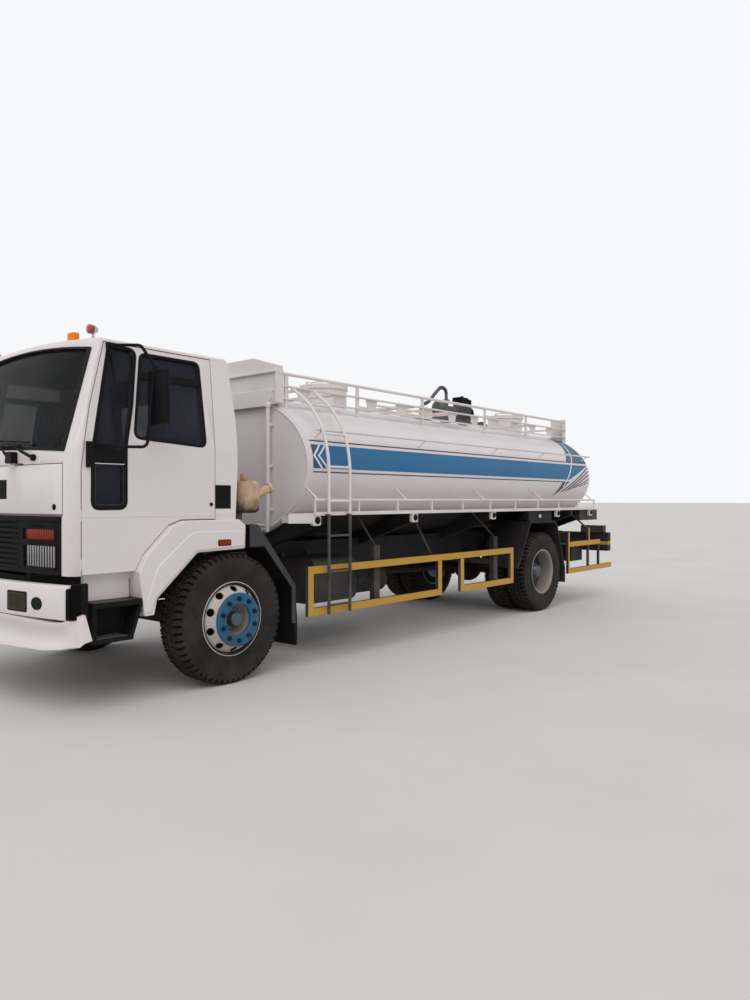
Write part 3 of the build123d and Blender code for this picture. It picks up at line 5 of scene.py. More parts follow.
import bmesh
import bpy
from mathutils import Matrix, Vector


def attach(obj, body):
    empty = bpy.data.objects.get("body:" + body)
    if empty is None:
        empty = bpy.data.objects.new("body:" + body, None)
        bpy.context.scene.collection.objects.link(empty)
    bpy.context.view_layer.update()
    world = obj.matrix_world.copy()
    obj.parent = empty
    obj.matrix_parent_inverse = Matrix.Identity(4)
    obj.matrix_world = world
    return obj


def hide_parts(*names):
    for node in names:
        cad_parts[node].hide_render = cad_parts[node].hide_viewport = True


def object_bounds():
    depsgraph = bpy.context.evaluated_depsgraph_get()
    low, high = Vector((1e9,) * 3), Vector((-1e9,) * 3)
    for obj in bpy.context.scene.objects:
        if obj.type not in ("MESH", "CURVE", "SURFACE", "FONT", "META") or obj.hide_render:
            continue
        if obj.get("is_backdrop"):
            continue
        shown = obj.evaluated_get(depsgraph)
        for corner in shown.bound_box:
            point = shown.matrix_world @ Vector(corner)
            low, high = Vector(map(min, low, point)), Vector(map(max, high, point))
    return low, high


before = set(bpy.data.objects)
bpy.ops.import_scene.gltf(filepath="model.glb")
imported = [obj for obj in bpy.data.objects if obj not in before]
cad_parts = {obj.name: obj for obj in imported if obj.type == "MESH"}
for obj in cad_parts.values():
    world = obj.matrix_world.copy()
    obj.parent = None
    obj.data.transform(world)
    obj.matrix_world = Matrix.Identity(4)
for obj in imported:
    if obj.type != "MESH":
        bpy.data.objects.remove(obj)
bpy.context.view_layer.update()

# Places along the truck are stations, measured rearwards from the front axle
FRONT_AXLE_Y = -3.08
WHEELBASE = 5.3
AXLE_Z = 0.527
SIDES = (("left", 1), ("right", -1))
TURN = 2 * math.pi

# Materials
SAND = (0.46, 0.36, 0.27, 1)
WHITE = (0.74, 0.67, 0.655)
CREAM = (0.74, 0.68, 0.65)
BLUE = (0.01, 0.14, 0.31)
INK = (0.006, 0.006, 0.0065)
YELLOW = (0.5, 0.27, 0.018)


class Graph:
    """Small helper that adds nodes to a material and links them."""

    def __init__(self, name):
        self.material = bpy.data.materials.new(name)
        self.material.use_nodes = True
        self.tree = self.material.node_tree
        self.shader = self.tree.nodes["Principled BSDF"]
        self.spot = self.tree.nodes.new("ShaderNodeTexCoord").outputs["Object"]

    def add(self, kind, inputs, output=0, **settings):
        node = self.tree.nodes.new(kind)
        for key, value in settings.items():
            setattr(node, key, value)
        for key, value in inputs.items():
            self.feed(node.inputs[key], value)
        return node.outputs[output]

    def feed(self, socket, value):
        if isinstance(value, bpy.types.NodeSocket):
            self.tree.links.new(value, socket)
        else:
            socket.default_value = value

    def paint(self, color, rough):
        self.feed(self.shader.inputs["Base Color"], color)
        self.feed(self.shader.inputs["Roughness"], rough)

    def noise(self, scale, detail=3.0, roughness=0.55):
        inputs = {"Vector": self.spot, "Scale": scale, "Detail": detail, "Roughness": roughness}
        return self.add("ShaderNodeTexNoise", inputs)

    def span(self, value, low, high, to_low=0.0, to_high=1.0):
        """Value between low and high, mapped to another span and clamped."""
        inputs = {"Value": value, "From Min": low, "From Max": high, "To Min": to_low, "To Max": to_high}
        return self.add("ShaderNodeMapRange", inputs)

    def sum(self, operation, first, second):
        return self.add("ShaderNodeMath", {0: first, 1: second}, operation=operation)

    def mix(self, share, first, second):
        return self.add("ShaderNodeMix", {0: share, 6: first, 7: second}, output=2, data_type="RGBA")

    def axis(self, name):
        return self.add("ShaderNodeSeparateXYZ", {0: self.spot}, output=name)

    def bump(self, height, strength):
        normal = self.add("ShaderNodeBump", {"Height": height, "Strength": strength, "Distance": 0.002})
        self.feed(self.shader.inputs["Normal"], normal)


def finish_of(name, color, rough, dust, low, high, relief, patch, spec, metal=0.0, grain=55, coat=0.0,
              second=None):
    """Painted, cast or moulded surface with patchy tone, fine grain and dust that gathers low down.

    second is (axis, limit, above, other color): another paint on that side of a plane.
    """
    g = Graph(name)
    base = (*color, 1)
    if second:
        axis, limit, above, other = second
        place = g.axis(axis)
        if axis == "X":
            place = g.sum("ABSOLUTE", place, 0.0)
        chosen = g.sum("GREATER_THAN" if above else "LESS_THAN", place, limit)
        base = g.mix(chosen, base, (*other, 1))
        worn = g.mix(g.span(g.noise(1.7, 4), 0.4, 0.7), base, g.mix(0.12, base, SAND))
    else:
        faded = tuple(min(1.0, c * patch) for c in color) + (1,)
        worn = g.mix(g.span(g.noise(1.7, 4), 0.35, 0.7), base, faded)
    fine = g.noise(grain, 2)
    cloud = g.noise(3.4, 5, roughness=0.65)
    height = g.span(g.axis("Z"), low, high, 1.0, 0.12)
    amount = g.sum("MULTIPLY", height, g.span(cloud, 0.38, 0.72, 0.15, 1.0))
    amount = g.sum("MULTIPLY", amount, g.span(fine, 0.3, 0.7, 0.75, 1.1))
    amount = g.sum("MULTIPLY", amount, dust)
    uneven = g.sum("ADD", amount, g.span(fine, 0.3, 0.7, -0.06, 0.06))
    g.paint(g.mix(amount, worn, SAND), g.span(uneven, 0.0, 1.0, rough, min(1.0, rough + 0.5)))
    for key, value in (("Metallic", metal), ("Coat Weight", coat), ("Coat Roughness", 0.12),
                       ("Specular IOR Level", spec)):
        g.shader.inputs[key].default_value = value
    if relief:
        g.bump(fine, relief)
    return g.material


# Slot, colour, roughness, dust, its low and high end, relief, patch and specular level, and then metal,
# grain, coat and second where they aren't the usual ones
FINISHES = {
    "white_paint": ("white_paint", WHITE, 0.32, 0.14, 0.3, 1.5, 0.03, 0.965, 0.5, 0.0, 55, 0.25),
    "tank_paint": ("white_paint", (0.72, 0.655, 0.655), 0.36, 0.14, 1.0, 2.2, 0.04, 0.95, 0.5, 0.0, 55, 0.2),
    "rail_paint": ("white_paint", CREAM, 0.45, 0.22, 1.2, 3.0, 0.08, 0.9, 0.5),
    "ladder_paint": ("white_paint", CREAM, 0.45, 0.2, 0.4, 2.4, 0.12, 0.85, 0.3, 0.0, 55, 0.0,
                     ("Z", 1.36, False, (0.02, 0.022, 0.027))),
    "stripe_blue": ("white_paint", BLUE, 0.38, 0.06, 1.2, 3.0, 0.03, 0.88, 0.35),
    "stripe_dark": ("white_paint", (0.05, 0.07, 0.115), 0.4, 0.06, 1.2, 3.0, 0.03, 0.85, 0.35),
    "stripe_haze": ("white_paint", (0.06, 0.13, 0.21), 0.42, 0.06, 1.2, 3.0, 0.03, 0.8, 0.35),
    "stripe_white": ("white_paint", (0.78, 0.74, 0.74), 0.35, 0.06, 1.2, 3.0, 0.03, 0.97, 0.5),
    "chassis_black": ("chassis_black", (0.01, 0.0105, 0.012), 0.62, 0.1, 0.2, 1.6, 0.2, 0.6, 0.28),
    "edge_grey": ("chassis_black", (0.03, 0.032, 0.038), 0.55, 0.15, 0.0, 2.0, 0.1, 0.7, 0.35),
    "black_plastic": ("black_plastic", INK, 0.65, 0.022, 0.4, 1.6, 0.12, 0.75, 0.13, 0.0, 140),
    "gasket_black": ("black_plastic", (0.006, 0.006, 0.007), 0.6, 0.03, 0.35, 1.5, 0.05, 0.8, 0.14),
    "step_metal": ("black_plastic", (0.07, 0.068, 0.066), 0.6, 0.25, 0.0, 2.0, 0.4, 0.4, 0.5, 0.2, 40),
    "mirror_black": ("mirror_black", (0.005, 0.0055, 0.0065), 0.65, 0.02, 1.0, 3.0, 0.08, 0.93, 0.13),
    "looking_glass": ("mirror_black", (0.75, 0.77, 0.78), 0.04, 0.04, 0.5, 4.0, 0.0, 0.93, 0.5, 1.0),
    "tyre_rubber": ("tyre_rubber", (0.0125, 0.0115, 0.011), 0.85, 0.1, 0.0, 3.0, 0.25, 0.75, 0.25, 0.0, 90),
    # Floors of the tread grooves, darker than the tyre rubber as painted shade
    "groove_rubber": ("tyre_rubber", (0.004, 0.004, 0.004), 0.9, 0.02, 0.0, 3.0, 0.12, 0.93, 0.1),
    "rim_white": ("rim_silver", (0.56, 0.51, 0.49), 0.45, 0.35, 0.0, 3.0, 0.1, 0.85, 0.5),
    "rim_steel": ("rim_silver", (0.32, 0.28, 0.26), 0.5, 0.45, 0.0, 3.0, 0.2, 0.6, 0.5, 0.2),
    "disc_dark": ("rim_silver", (0.04, 0.036, 0.035), 0.6, 0.2, 0.0, 3.0, 0.2, 0.6, 0.3, 0.1),
    "ring_blue": ("rim_silver", (0.012, 0.12, 0.24), 0.5, 0.1, 0.0, 3.0, 0.15, 0.7, 0.3),
    "nut_steel": ("rim_silver", (0.012, 0.03, 0.045), 0.4, 0.08, 0.0, 3.0, 0.12, 0.93, 0.5, 0.5),
    "hub_paint": ("rim_silver", (0.3, 0.26, 0.25), 0.5, 0.4, 0.0, 3.0, 0.12, 0.5, 0.5, 0.1),
    "hub_grey": ("rim_silver", (0.1, 0.14, 0.17), 0.4, 0.2, 0.0, 3.0, 0.12, 0.5, 0.5, 0.5),
    # Dark cast iron, also laid on the front rims' barrels as painted shade inside the rims
    "cast_iron": ("rim_silver", (0.014, 0.0135, 0.013), 0.7, 0.16, 0.1, 1.3, 0.5, 0.6, 0.3, 0.2, 35),
    "guard_yellow": ("guard_yellow", YELLOW, 0.5, 0.2, 0.2, 1.4, 0.1, 0.82, 0.3, 0.0, 55, 0.0,
                     ("X", 1.2186, False, (0.012, 0.012, 0.014))),
    "yellow_band": ("guard_yellow", YELLOW, 0.5, 0.25, 0.2, 1.4, 0.12, 0.8, 0.3),
    "pump_grey": ("pump_grey", (0.1, 0.105, 0.115), 0.5, 0.2, 1.5, 4.0, 0.3, 0.5, 0.5, 0.3),
    "tank_metal": ("tank_metal", (0.035, 0.036, 0.04), 0.5, 0.22, 0.4, 1.3, 0.12, 0.75, 0.5, 0.5),
    "trim_cloth": ("cab_trim", (0.014, 0.015, 0.018), 0.9, 0.04, 1.2, 3.0, 0.4, 0.7, 0.2, 0.0, 220),
    "dash_plastic": ("cab_trim", (0.06, 0.072, 0.068), 0.7, 0.1, 1.2, 3.0, 0.2, 0.93, 0.3, 0.0, 160),
    "curtain_cloth": ("cab_trim", (0.42, 0.46, 0.62), 0.9, 0.05, 1.2, 3.0, 0.3, 0.5, 0.1, 0.0, 200),
    "amber_lens": ("amber_lens", (0.34, 0.028, 0.003), 0.4, 0.01, 0.5, 3.0, 0.05, 0.4, 0.18),
    "orange_lens": ("amber_lens", (0.95, 0.25, 0.002), 0.4, 0.0, 1.0, 4.0, 0.12, 0.85, 0.1),
    "red_lens": ("amber_lens", (0.42, 0.02, 0.015), 0.2, 0.15, 0.4, 3.0, 0.12, 0.7, 0.5, 0.0, 55, 0.5),
    "chrome": ("amber_lens", (0.62, 0.62, 0.62), 0.14, 0.08, 0.5, 4.0, 0.02, 0.93, 0.5, 1.0),
    "clear_lens": ("lamp_lens", (0.5, 0.48, 0.47), 0.2, 0.1, 0.5, 3.0, 0.12, 0.5, 0.5, 0.6, 55, 0.4),
    "dull_lens": ("lamp_lens", (0.045, 0.022, 0.009), 0.4, 0.08, 0.3, 2.0, 0.12, 0.4, 0.3),
    "rear_lamp": ("red_lens", INK, 0.5, 0.1, 0.3, 2.0, 0.12, 0.93, 0.5, 0.0, 55, 0.0,
                  ("Y", FRONT_AXLE_Y + 7.612, True, (0.4, 0.02, 0.015))),
}


def stained(name):
    """Old clear plastic, yellowed on top and stained brown low down."""
    g = Graph(name)
    clouds = g.noise(5.0, 5, roughness=0.6)
    base = g.mix(g.span(clouds, 0.38, 0.62), (0.58, 0.41, 0.25, 1), (0.36, 0.2, 0.1, 1))
    depth = g.sum("ADD", g.span(g.axis("Z"), 1.38, 1.6, 1.0, 0.0), g.span(clouds, 0.3, 0.7, -0.35, 0.35))
    color = g.mix(g.span(depth, 0.2, 1.0), base, (0.05, 0.028, 0.018, 1))
    g.paint(color, g.span(clouds, 0.3, 0.7, 0.38, 0.6))
    g.bump(g.noise(60, 2), 0.12)
    return g.material


def glass_of(name, tint, alpha, level, rough=0.05):
    """Tinted window glass: see-through, with a gloss and a thin film of dust."""
    g = Graph(name)
    film = g.span(g.noise(2.6, 5), 0.42, 0.75, 0.0, 0.03)
    g.paint(g.mix(film, (*tint, 1), SAND), g.span(film, 0.0, 0.03, rough, rough + 0.12))
    g.feed(g.shader.inputs["Alpha"], g.span(film, 0.0, 0.03, alpha, min(1.0, alpha + 0.12)))
    g.shader.inputs["Specular IOR Level"].default_value = level
    return g.material


LOOKS = {name: finish_of(name, *row[1:]) for name, row in FINISHES.items()}
LOOKS["stained_plastic"] = stained("stained_plastic")
LOOKS["screen_glass"] = glass_of("screen_glass", (0.004, 0.005, 0.005), 0.5, 0.06)
LOOKS["door_glass"] = glass_of("door_glass", (0.018, 0.02, 0.03), 0.6, 0.2)


# Mesh building

BOX_FACES = ((0, 1, 3, 2), (4, 6, 7, 5), (0, 4, 5, 1), (2, 3, 7, 6), (0, 2, 6, 4), (1, 5, 7, 3))


class Shape:
    """Points (x, station, z) and faces of a piece while it is put together, in metres."""

    def __init__(self):
        self.points, self.faces, self.marks = [], [], []
        self.mark = 0

    def grow(self, points, faces):
        first = len(self.points)
        self.points += [tuple(p) for p in points]
        self.faces += [tuple(first + i for i in face) for face in faces]
        self.marks += [self.mark] * len(faces)

    def box(self, x, station, z):
        corners = [(a, b, c) for a in sorted(x) for b in sorted(station) for c in sorted(z)]
        self.grow(corners, BOX_FACES)

    def prism(self, outline, axis, span):
        """Outline of two coordinates, carried along the third between two values."""
        def place(p, value):
            return {"x": (value, *p), "y": (p[0], value, p[1]), "z": (*p, value)}[axis]
        count = len(outline)
        sides = [(i, (i + 1) % count, (i + 1) % count + count, i + count) for i in range(count)]
        ends = [tuple(range(count))[::-1], tuple(range(count, 2 * count))]
        self.grow([place(p, value) for value in span for p in outline], ends + sides)

    def rows(self, rows, closed=False, wrap=False, ends=False):
        """Quads between rows of points.

        closed joins each row's ends, wrap joins the last row to the first, and ends fills the
        first and the last row.
        """
        across, count = len(rows[0]), len(rows)
        last_i = count if wrap else count - 1
        last_j = across if closed else across - 1
        faces = [
            (i * across + j, i * across + (j + 1) % across,
             (i + 1) % count * across + (j + 1) % across, (i + 1) % count * across + j)
            for i in range(last_i) for j in range(last_j)
        ]
        self.grow([p for row in rows for p in row], faces)
        if ends:
            for row in (rows[0], rows[-1]):
                self.grow(row, [tuple(range(across))])

    def sweep(self, places, line, section, ends=False):
        """Section of (back, z) pairs carried across the truck; line gives the station at each x."""
        self.rows([[(x, line(x) + back, z) for back, z in section] for x in places], closed=True, ends=ends)

    def bar(self, path, radius, sides=10, closed=False, flat=None):
        """Round bar along a path; flat is (axis number, factor) to flatten its section.

        Its rings are worked out at their real Y and kept as stations.
        """
        path = [Vector((x, FRONT_AXLE_Y + station, z)) for x, station, z in path]
        count = len(path)
        turn = None
        rows = []
        for i, p in enumerate(path):
            before = path[i - 1] if i or closed else p
            after = path[(i + 1) % count] if i < count - 1 or closed else p
            way = (after - before).normalized()
            if turn is None:
                turn = way.orthogonal().normalized()
            turn = (turn - way * turn.dot(way)).normalized()
            third = way.cross(turn)
            ring = []
            for k in range(sides):
                angle = TURN * k / sides
                step = (turn * math.cos(angle) + third * math.sin(angle)) * radius
                if flat:
                    step[flat[0]] *= flat[1]
                x, y, z = p + step
                ring.append((x, y - FRONT_AXLE_Y, z))
            rows.append(ring)
        self.rows(rows, closed=True, wrap=closed)
        if not closed:
            for ring in (rows[0][::-1], rows[-1]):
                self.grow(ring, [tuple(range(sides))])

    def turned(self, profile, centre, steps=24, axis="x", closed=False):
        """Profile of (along, radius) points turned about a line through centre."""
        cx, cy, cz = centre
        rows = []
        for k in range(steps):
            c, s = math.cos(TURN * k / steps), math.sin(TURN * k / steps)
            if axis == "x":
                rows.append([(cx + a, cy + r * c, cz + r * s) for a, r in profile])
            elif axis == "y":
                rows.append([(cx + r * c, cy + a, cz + r * s) for a, r in profile])
            else:
                rows.append([(cx + r * c, cy + r * s, cz + a) for a, r in profile])
        self.rows(rows, closed=closed, wrap=True)

    def join(self, other):
        first = len(self.points)
        self.points += other.points
        self.faces += [tuple(first + i for i in face) for face in other.faces]
        self.marks += [m + self.mark for m in other.marks]
        return self

    def mirrored(self):
        other = Shape()
        other.points = [(-x, y, z) for x, y, z in self.points]
        other.faces = [face[::-1] for face in self.faces]
        other.marks = list(self.marks)
        return other


def both(shape):
    """Shape and its mirror image as one."""
    return Shape().join(shape).join(shape.mirrored())


def make(name, shape, body, look, slot=None, bevel=0.0, smooth=32, replaces=None):
    """Turns a shape into a piece that rides on a body; look names its materials in the order of marks."""
    looks = look.split()
    mesh = bpy.data.meshes.new(name)
    mesh.from_pydata([(x, FRONT_AXLE_Y + station, z) for x, station, z in shape.points], [], shape.faces)
    for each in looks:
        mesh.materials.append(LOOKS[each])
    mesh.polygons.foreach_set("material_index", shape.marks)
    work = bmesh.new()
    work.from_mesh(mesh)
    bmesh.ops.remove_doubles(work, verts=work.verts, dist=0.00002)
    bmesh.ops.recalc_face_normals(work, faces=work.faces)
    work.to_mesh(mesh)
    work.free()
    mesh.shade_smooth()
    mesh.set_sharp_from_angle(angle=math.radians(smooth))
    obj = bpy.data.objects.new(name, mesh)
    bpy.context.scene.collection.objects.link(obj)
    if bevel:
        add_bevel(obj, bevel, 38).harden_normals = False
    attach(obj, body)
    if replaces:
        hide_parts(replaces)


def add_bevel(obj, width, degrees):
    edge = obj.modifiers.new("edge", "BEVEL")
    edge.width, edge.segments, edge.limit_method = width, 2, "ANGLE"
    edge.angle_limit = math.radians(degrees)
    return edge


def make_pair(name, shape, body, look, replaces="", **more):
    """The left-hand piece and its mirror image; body and replaces may hold a place for the side."""
    for side_name, side in SIDES:
        half = shape if side > 0 else shape.mirrored()
        node = replaces.format(side_name)
        make(f"{name}_{side_name}", half, body.format(side_name), look, replaces=node, **more)


def rect(low_a, high_a, low_b, high_b):
    return [(low_a, low_b), (high_a, low_b), (high_a, high_b), (low_a, high_b)]


def bend(before, p, after, reach, steps):
    """Points of a round corner at p."""
    start, end = p + before.normalized() * reach, p + after.normalized() * reach
    shares = [k / steps for k in range(steps + 1)]
    return [start * (1 - t) ** 2 + p * 2 * t * (1 - t) + end * t * t for t in shares]


def rounded(points, radius, steps=5):
    """Closed outline of two coordinates with its corners rounded."""
    result = []
    for i, point in enumerate(points):
        p = Vector(point)
        a, b = Vector(points[i - 1]) - p, Vector(points[(i + 1) % len(points)]) - p
        reach = min(radius / math.tan(a.angle(b) / 2), a.length * 0.48, b.length * 0.48)
        result += [tuple(q) for q in bend(a, p, b, reach, steps)]
    return result


def smooth_path(points, radius=0.06, steps=5):
    """Open path in space with its corners rounded."""
    path = [Vector(p) for p in points]
    result = [path[0]]
    for before, p, after in zip(path, path[1:], path[2:]):
        a, b = before - p, after - p
        result += bend(a, p, b, min(radius, a.length * 0.48, b.length * 0.48), steps)
    return result + [path[-1]]


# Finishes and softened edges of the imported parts
NODE_LOOKS = {
    "white_paint": "cab_front cab_rear cab_roof cab_floor door_left door_right front_flap front_fenders "
                   "front_bumper",
    "black_plastic": "bumper_corners grille_panel cab_steps front_mudguards",
    "chassis_black": "chassis_frame rear_fenders tank_cradle air_tanks rear_bumper outlet_pipe",
    "cast_iron": "engine_and_drive front_axle rear_axle leaf_springs knuckle_left knuckle_right",
    "rail_paint": "hose_trays walkway head_pipe manhole_lid_1 manhole_lid_2",
    "tyre_rubber": "tyre_front_left tyre_front_right tyres_rear_left tyres_rear_right",
    "rim_white": "rim_front_left rim_front_right", "rim_steel": "rims_rear_left rims_rear_right",
    "door_glass": "door_glass_left door_glass_right", "mirror_black": "mirror_left mirror_right",
    "screen_glass": "cab_glass", "trim_cloth": "cab_interior", "dash_plastic": "steering_wheel",
    "tank_paint": "tank_shell", "ladder_paint": "ladder", "pump_grey": "pump_unit", "tank_metal": "fuel_tank",
    "stained_plastic": "expansion_tank", "guard_yellow": "side_guards", "rear_lamp": "rear_lamps",
    "clear_lens": "front_lamps", "orange_lens": "roof_lamps",
}
SOFT_EDGES = {
    0.002: "walkway", 0.003: "hose_trays",
    0.004: "grille_panel mirror_left mirror_right front_mudguards side_guards",
    0.005: "door_left door_right chassis_frame rear_fenders tank_cradle",
    0.006: "cab_front cab_rear front_flap cab_steps rear_bumper pump_unit",
    0.008: "bumper_corners front_axle", 0.01: "cab_roof air_tanks", 0.012: "front_fenders engine_and_drive",
    0.014: "front_bumper", 0.03: "cab_interior",
}
for look, names in NODE_LOOKS.items():
    for name in names.split():
        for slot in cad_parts[name].material_slots:
            slot.material = LOOKS[look]
for width, names in SOFT_EDGES.items():
    for name in names.split():
        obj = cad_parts[name]
        obj.modifiers.new("weld", "WELD").merge_threshold = 0.00005
        edge = add_bevel(obj, width, 32)
        edge.use_clamp_overlap = edge.harden_normals = True

# Wheels: tyres with shoulder blocks, rims with hand holes, nuts and hubs
TYRE_RADIUS = 0.527
TREAD_BASE = TYRE_RADIUS - 0.016
PITCHES = 56
PITCH = TURN / PITCHES
WHEEL_X, TWIN_X = 1.06, 0.725
TWIN_MIDDLE = (WHEEL_X + TWIN_X) / 2
FRONT_FACE = WHEEL_X + 0.193
NUT_CIRCLE = 0.1675
HAND_HOLES, HOLE_CIRCLE, HOLE_ACROSS, HOLE_OUT, HOLE_BAND = 10, 0.243, 0.033, 0.0225, 0.0255
DISC_STEPS = 80


def on_wheel(station, x, r, angle):
    return x, station + r * math.cos(angle), AXLE_Z + r * math.sin(angle)


def tyre(centre_x, station):
    """Truck tyre with rib-and-block tread, on its centre line at x."""
    shape = Shape()
    centre = (centre_x, station, AXLE_Z)
    half = [
        (0.108, 0.286), (0.118, 0.292), (0.124, 0.303), (0.129, 0.318), (0.127, 0.324), (0.134, 0.35),
        (0.139, 0.385), (0.14, 0.42), (0.1385, 0.452), (0.1335, 0.474), (0.1345, 0.479), (0.129, 0.492),
        (0.121, 0.506), (0.112, TREAD_BASE - 0.001), (0.06, TREAD_BASE),
    ]
    for way in (1, -1):
        shape.turned([(way * a, r) for a, r in half[:-3]][::way], centre, steps=112)
    # The crown between the blocks takes the darker groove finish, painted shade in the grooves
    shape.mark = 1
    crown = half[-4:]
    shape.turned(crown + [(-a, r) for a, r in reversed(crown)], centre, steps=112)
    shape.mark = 0

    def block(outline, way, low, high, turn):
        """Tread block from (x, share of the pitch) points, between two radii that taper at the shoulder."""
        lows = [low - max(0.0, abs(x) - 0.108) * 1.3 for x, _ in outline]
        tops = [high - max(0.0, abs(x) - 0.112) * 1.05 for x, _ in outline]
        rings = [
            [on_wheel(station, centre_x + way * x, r, share * PITCH + turn)
             for (x, share), r in zip(outline, radii)]
            for radii in (lows, tops)
        ]
        shape.rows(rings, closed=True)
        shape.grow(rings[1], [tuple(range(len(outline)))])

    shoulder = ((0.086, 0.06), (0.112, 0.0), (0.1325, 0.04), (0.1325, 0.6), (0.112, 0.68), (0.078, 0.62),
                (0.078, 0.3))
    rib = ((0.036, 0.0), (0.066, 0.12), (0.069, 0.5), (0.064, 0.93), (0.034, 0.82), (0.041, 0.4))
    middle = ((-0.02, 0.0), (0.0, 0.06), (0.02, 0.0), (0.026, 0.5), (0.02, 0.95), (0.0, 0.9), (-0.02, 0.95),
              (-0.026, 0.5))
    for k in range(PITCHES):
        for way, shift in ((-1, 0.75), (1, 0.25)):
            block(shoulder, way, TREAD_BASE - 0.004, TYRE_RADIUS - 0.0004, (k + shift) * PITCH)
            block(rib, way, TREAD_BASE - 0.003, TYRE_RADIUS - 0.0006, (k + shift) * PITCH)
        block(middle, 1, TREAD_BASE - 0.003, TYRE_RADIUS - 0.0005, k * PITCH)
    return shape


def dished_disc(station, base_x, profile, thickness):
    """Wheel disc whose depth beyond base_x follows (radius, x) pairs, with ten walled round holes."""
    shape = Shape()
    band_low, band_high = HOLE_CIRCLE - HOLE_BAND, HOLE_CIRCLE + HOLE_BAND
    faces = (0.0, thickness)
    around = [TURN * k / DISC_STEPS for k in range(DISC_STEPS)]

    def place(r, angle, back):
        return on_wheel(station, base_x + blend(r, profile) - back, r, angle)

    for back in faces:
        for radii in ([r for r, _ in profile if r < band_low] + [band_low],
                      [band_high] + [r for r, _ in profile if r > band_high]):
            shape.rows([[place(r, angle, back) for r in radii] for angle in around], wrap=True)
    per_side = DISC_STEPS // HAND_HOLES
    half = math.pi / HAND_HOLES
    for hole in range(HAND_HOLES):
        mid = TURN * (hole + 0.5) / HAND_HOLES
        border = [(band_low, mid - half + 2 * half * k / per_side) for k in range(per_side)]
        border += [(band_low + (band_high - band_low) * k / 4, mid + half) for k in range(4)]
        border += [(band_high, mid + half - 2 * half * k / per_side) for k in range(per_side)]
        border += [(band_high - (band_high - band_low) * k / 4, mid - half) for k in range(4)]
        hole_points = []
        for r, angle in border:
            across, up = HOLE_CIRCLE * (angle - mid), r - HOLE_CIRCLE
            length = math.hypot(across, up)
            hole_points.append((HOLE_CIRCLE + up * HOLE_OUT / length,
                                mid + across * HOLE_ACROSS / length / HOLE_CIRCLE))
        for back in faces:
            between = [
                [((1 - t) * a[0] + t * b[0], (1 - t) * a[1] + t * b[1]) for a, b in zip(border, hole_points)]
                for t in (0.0, 0.5, 1.0)
            ]
            shape.rows([[place(r, angle, back) for r, angle in row] for row in between], closed=True)
        shape.rows([[place(r, angle, back) for r, angle in hole_points] for back in faces], closed=True)
    for r in (profile[0][0], profile[-1][0]):
        shape.rows([[place(r, angle, back) for back in faces] for angle in around], wrap=True)
    return shape


def blend(x, stops):
    """Value at x between (x, value) stops."""
    for (x0, a), (x1, b) in zip(stops, stops[1:]):
        if x <= x1:
            return a + (b - a) * (x - x0) / (x1 - x0)
    return stops[-1][1]


def rim_barrel(centre_x, station):
    """Rim with both flanges and its drop centre, open inside."""
    shape = Shape()
    half = [(0.128, 0.2985), (0.1275, 0.2955), (0.121, 0.294), (0.1185, 0.2855), (0.112, 0.2845),
            (0.072, 0.281)]
    inner = [(0.072, 0.2725), (0.116, 0.2745), (0.126, 0.2795), (0.1305, 0.289), (0.1305, 0.2975)]
    profile = half + [(-a, r) for a, r in reversed(half)] + [(-a, r) for a, r in reversed(inner)] + inner
    shape.turned(profile, (centre_x, station, AXLE_Z), steps=80, closed=True)
    return shape


def nuts(station, x, circle, count, size, length, start=0.0):
    """Ring of hexagonal nuts with washers and stud ends, standing outwards."""
    shape = Shape()
    for k in range(count):
        angle = TURN * (k + start) / count
        _, cy, cz = on_wheel(station, x, circle, angle)
        for radius, sides, reach in ((size * 1.25, 14, 0.22), (size, 6, 1.0), (size * 0.5, 10, 1.35)):
            turns = [angle + TURN * j / sides for j in range(sides)]
            rings = [[(x + out, cy + radius * math.cos(a), cz + radius * math.sin(a)) for a in turns]
                     for out in (0.0, length * reach)]
            shape.rows(rings, closed=True)
            shape.grow(rings[1], [tuple(range(sides))])
    return shape


# The front rim's barrel takes the dark iron finish as painted shade inside the rim; its flange and disc are
# white
front_rim = rim_barrel(WHEEL_X, 0.0)
front_rim.mark = 1
front_rim.turned([(0.1255, 0.2925), (0.132, 0.2935), (0.133, 0.297), (0.131, 0.3), (0.1255, 0.3)],
                 (WHEEL_X, 0.0, AXLE_Z), steps=80, closed=True)
front_rim.join(dished_disc(0.0, FRONT_FACE, [(0.128, 0.0), (0.205, 0.0), (0.212, -0.003), (0.219, -0.018),
                                             (0.243, -0.047), (0.266, -0.078), (0.2725, -0.089)], 0.013))
front_rim.mark = 0
front_rim.turned([(0.02, 0.0), (0.02, 0.2), (0.09, 0.264), (0.083, 0.268), (-0.1, 0.22), (-0.1, 0.0)],
                 (WHEEL_X, 0.0, AXLE_Z), steps=48)
front_ring = Shape()
FACE_CENTRE = (FRONT_FACE, 0.0, AXLE_Z)
front_ring.turned([(-0.002, 0.216), (0.012, 0.216), (0.0165, 0.21), (0.0165, 0.129), (0.012, 0.1245),
                   (-0.012, 0.1245)], FACE_CENTRE, steps=72, closed=True)
front_hub = Shape()
front_hub.turned([(-0.014, 0.128), (-0.014, 0.12), (-0.07, 0.104), (-0.074, 0.098), (-0.074, 0.0)],
                 FACE_CENTRE, steps=48)
front_hub.mark = 1
front_hub.turned([(-0.0735, 0.096), (-0.062, 0.09), (-0.058, 0.064), (-0.03, 0.059), (-0.012, 0.056),
                  (-0.006, 0.05), (-0.006, 0.0)], FACE_CENTRE, steps=48)
front_hub.join(nuts(0.0, FRONT_FACE - 0.062, 0.078, 8, 0.007, 0.008))

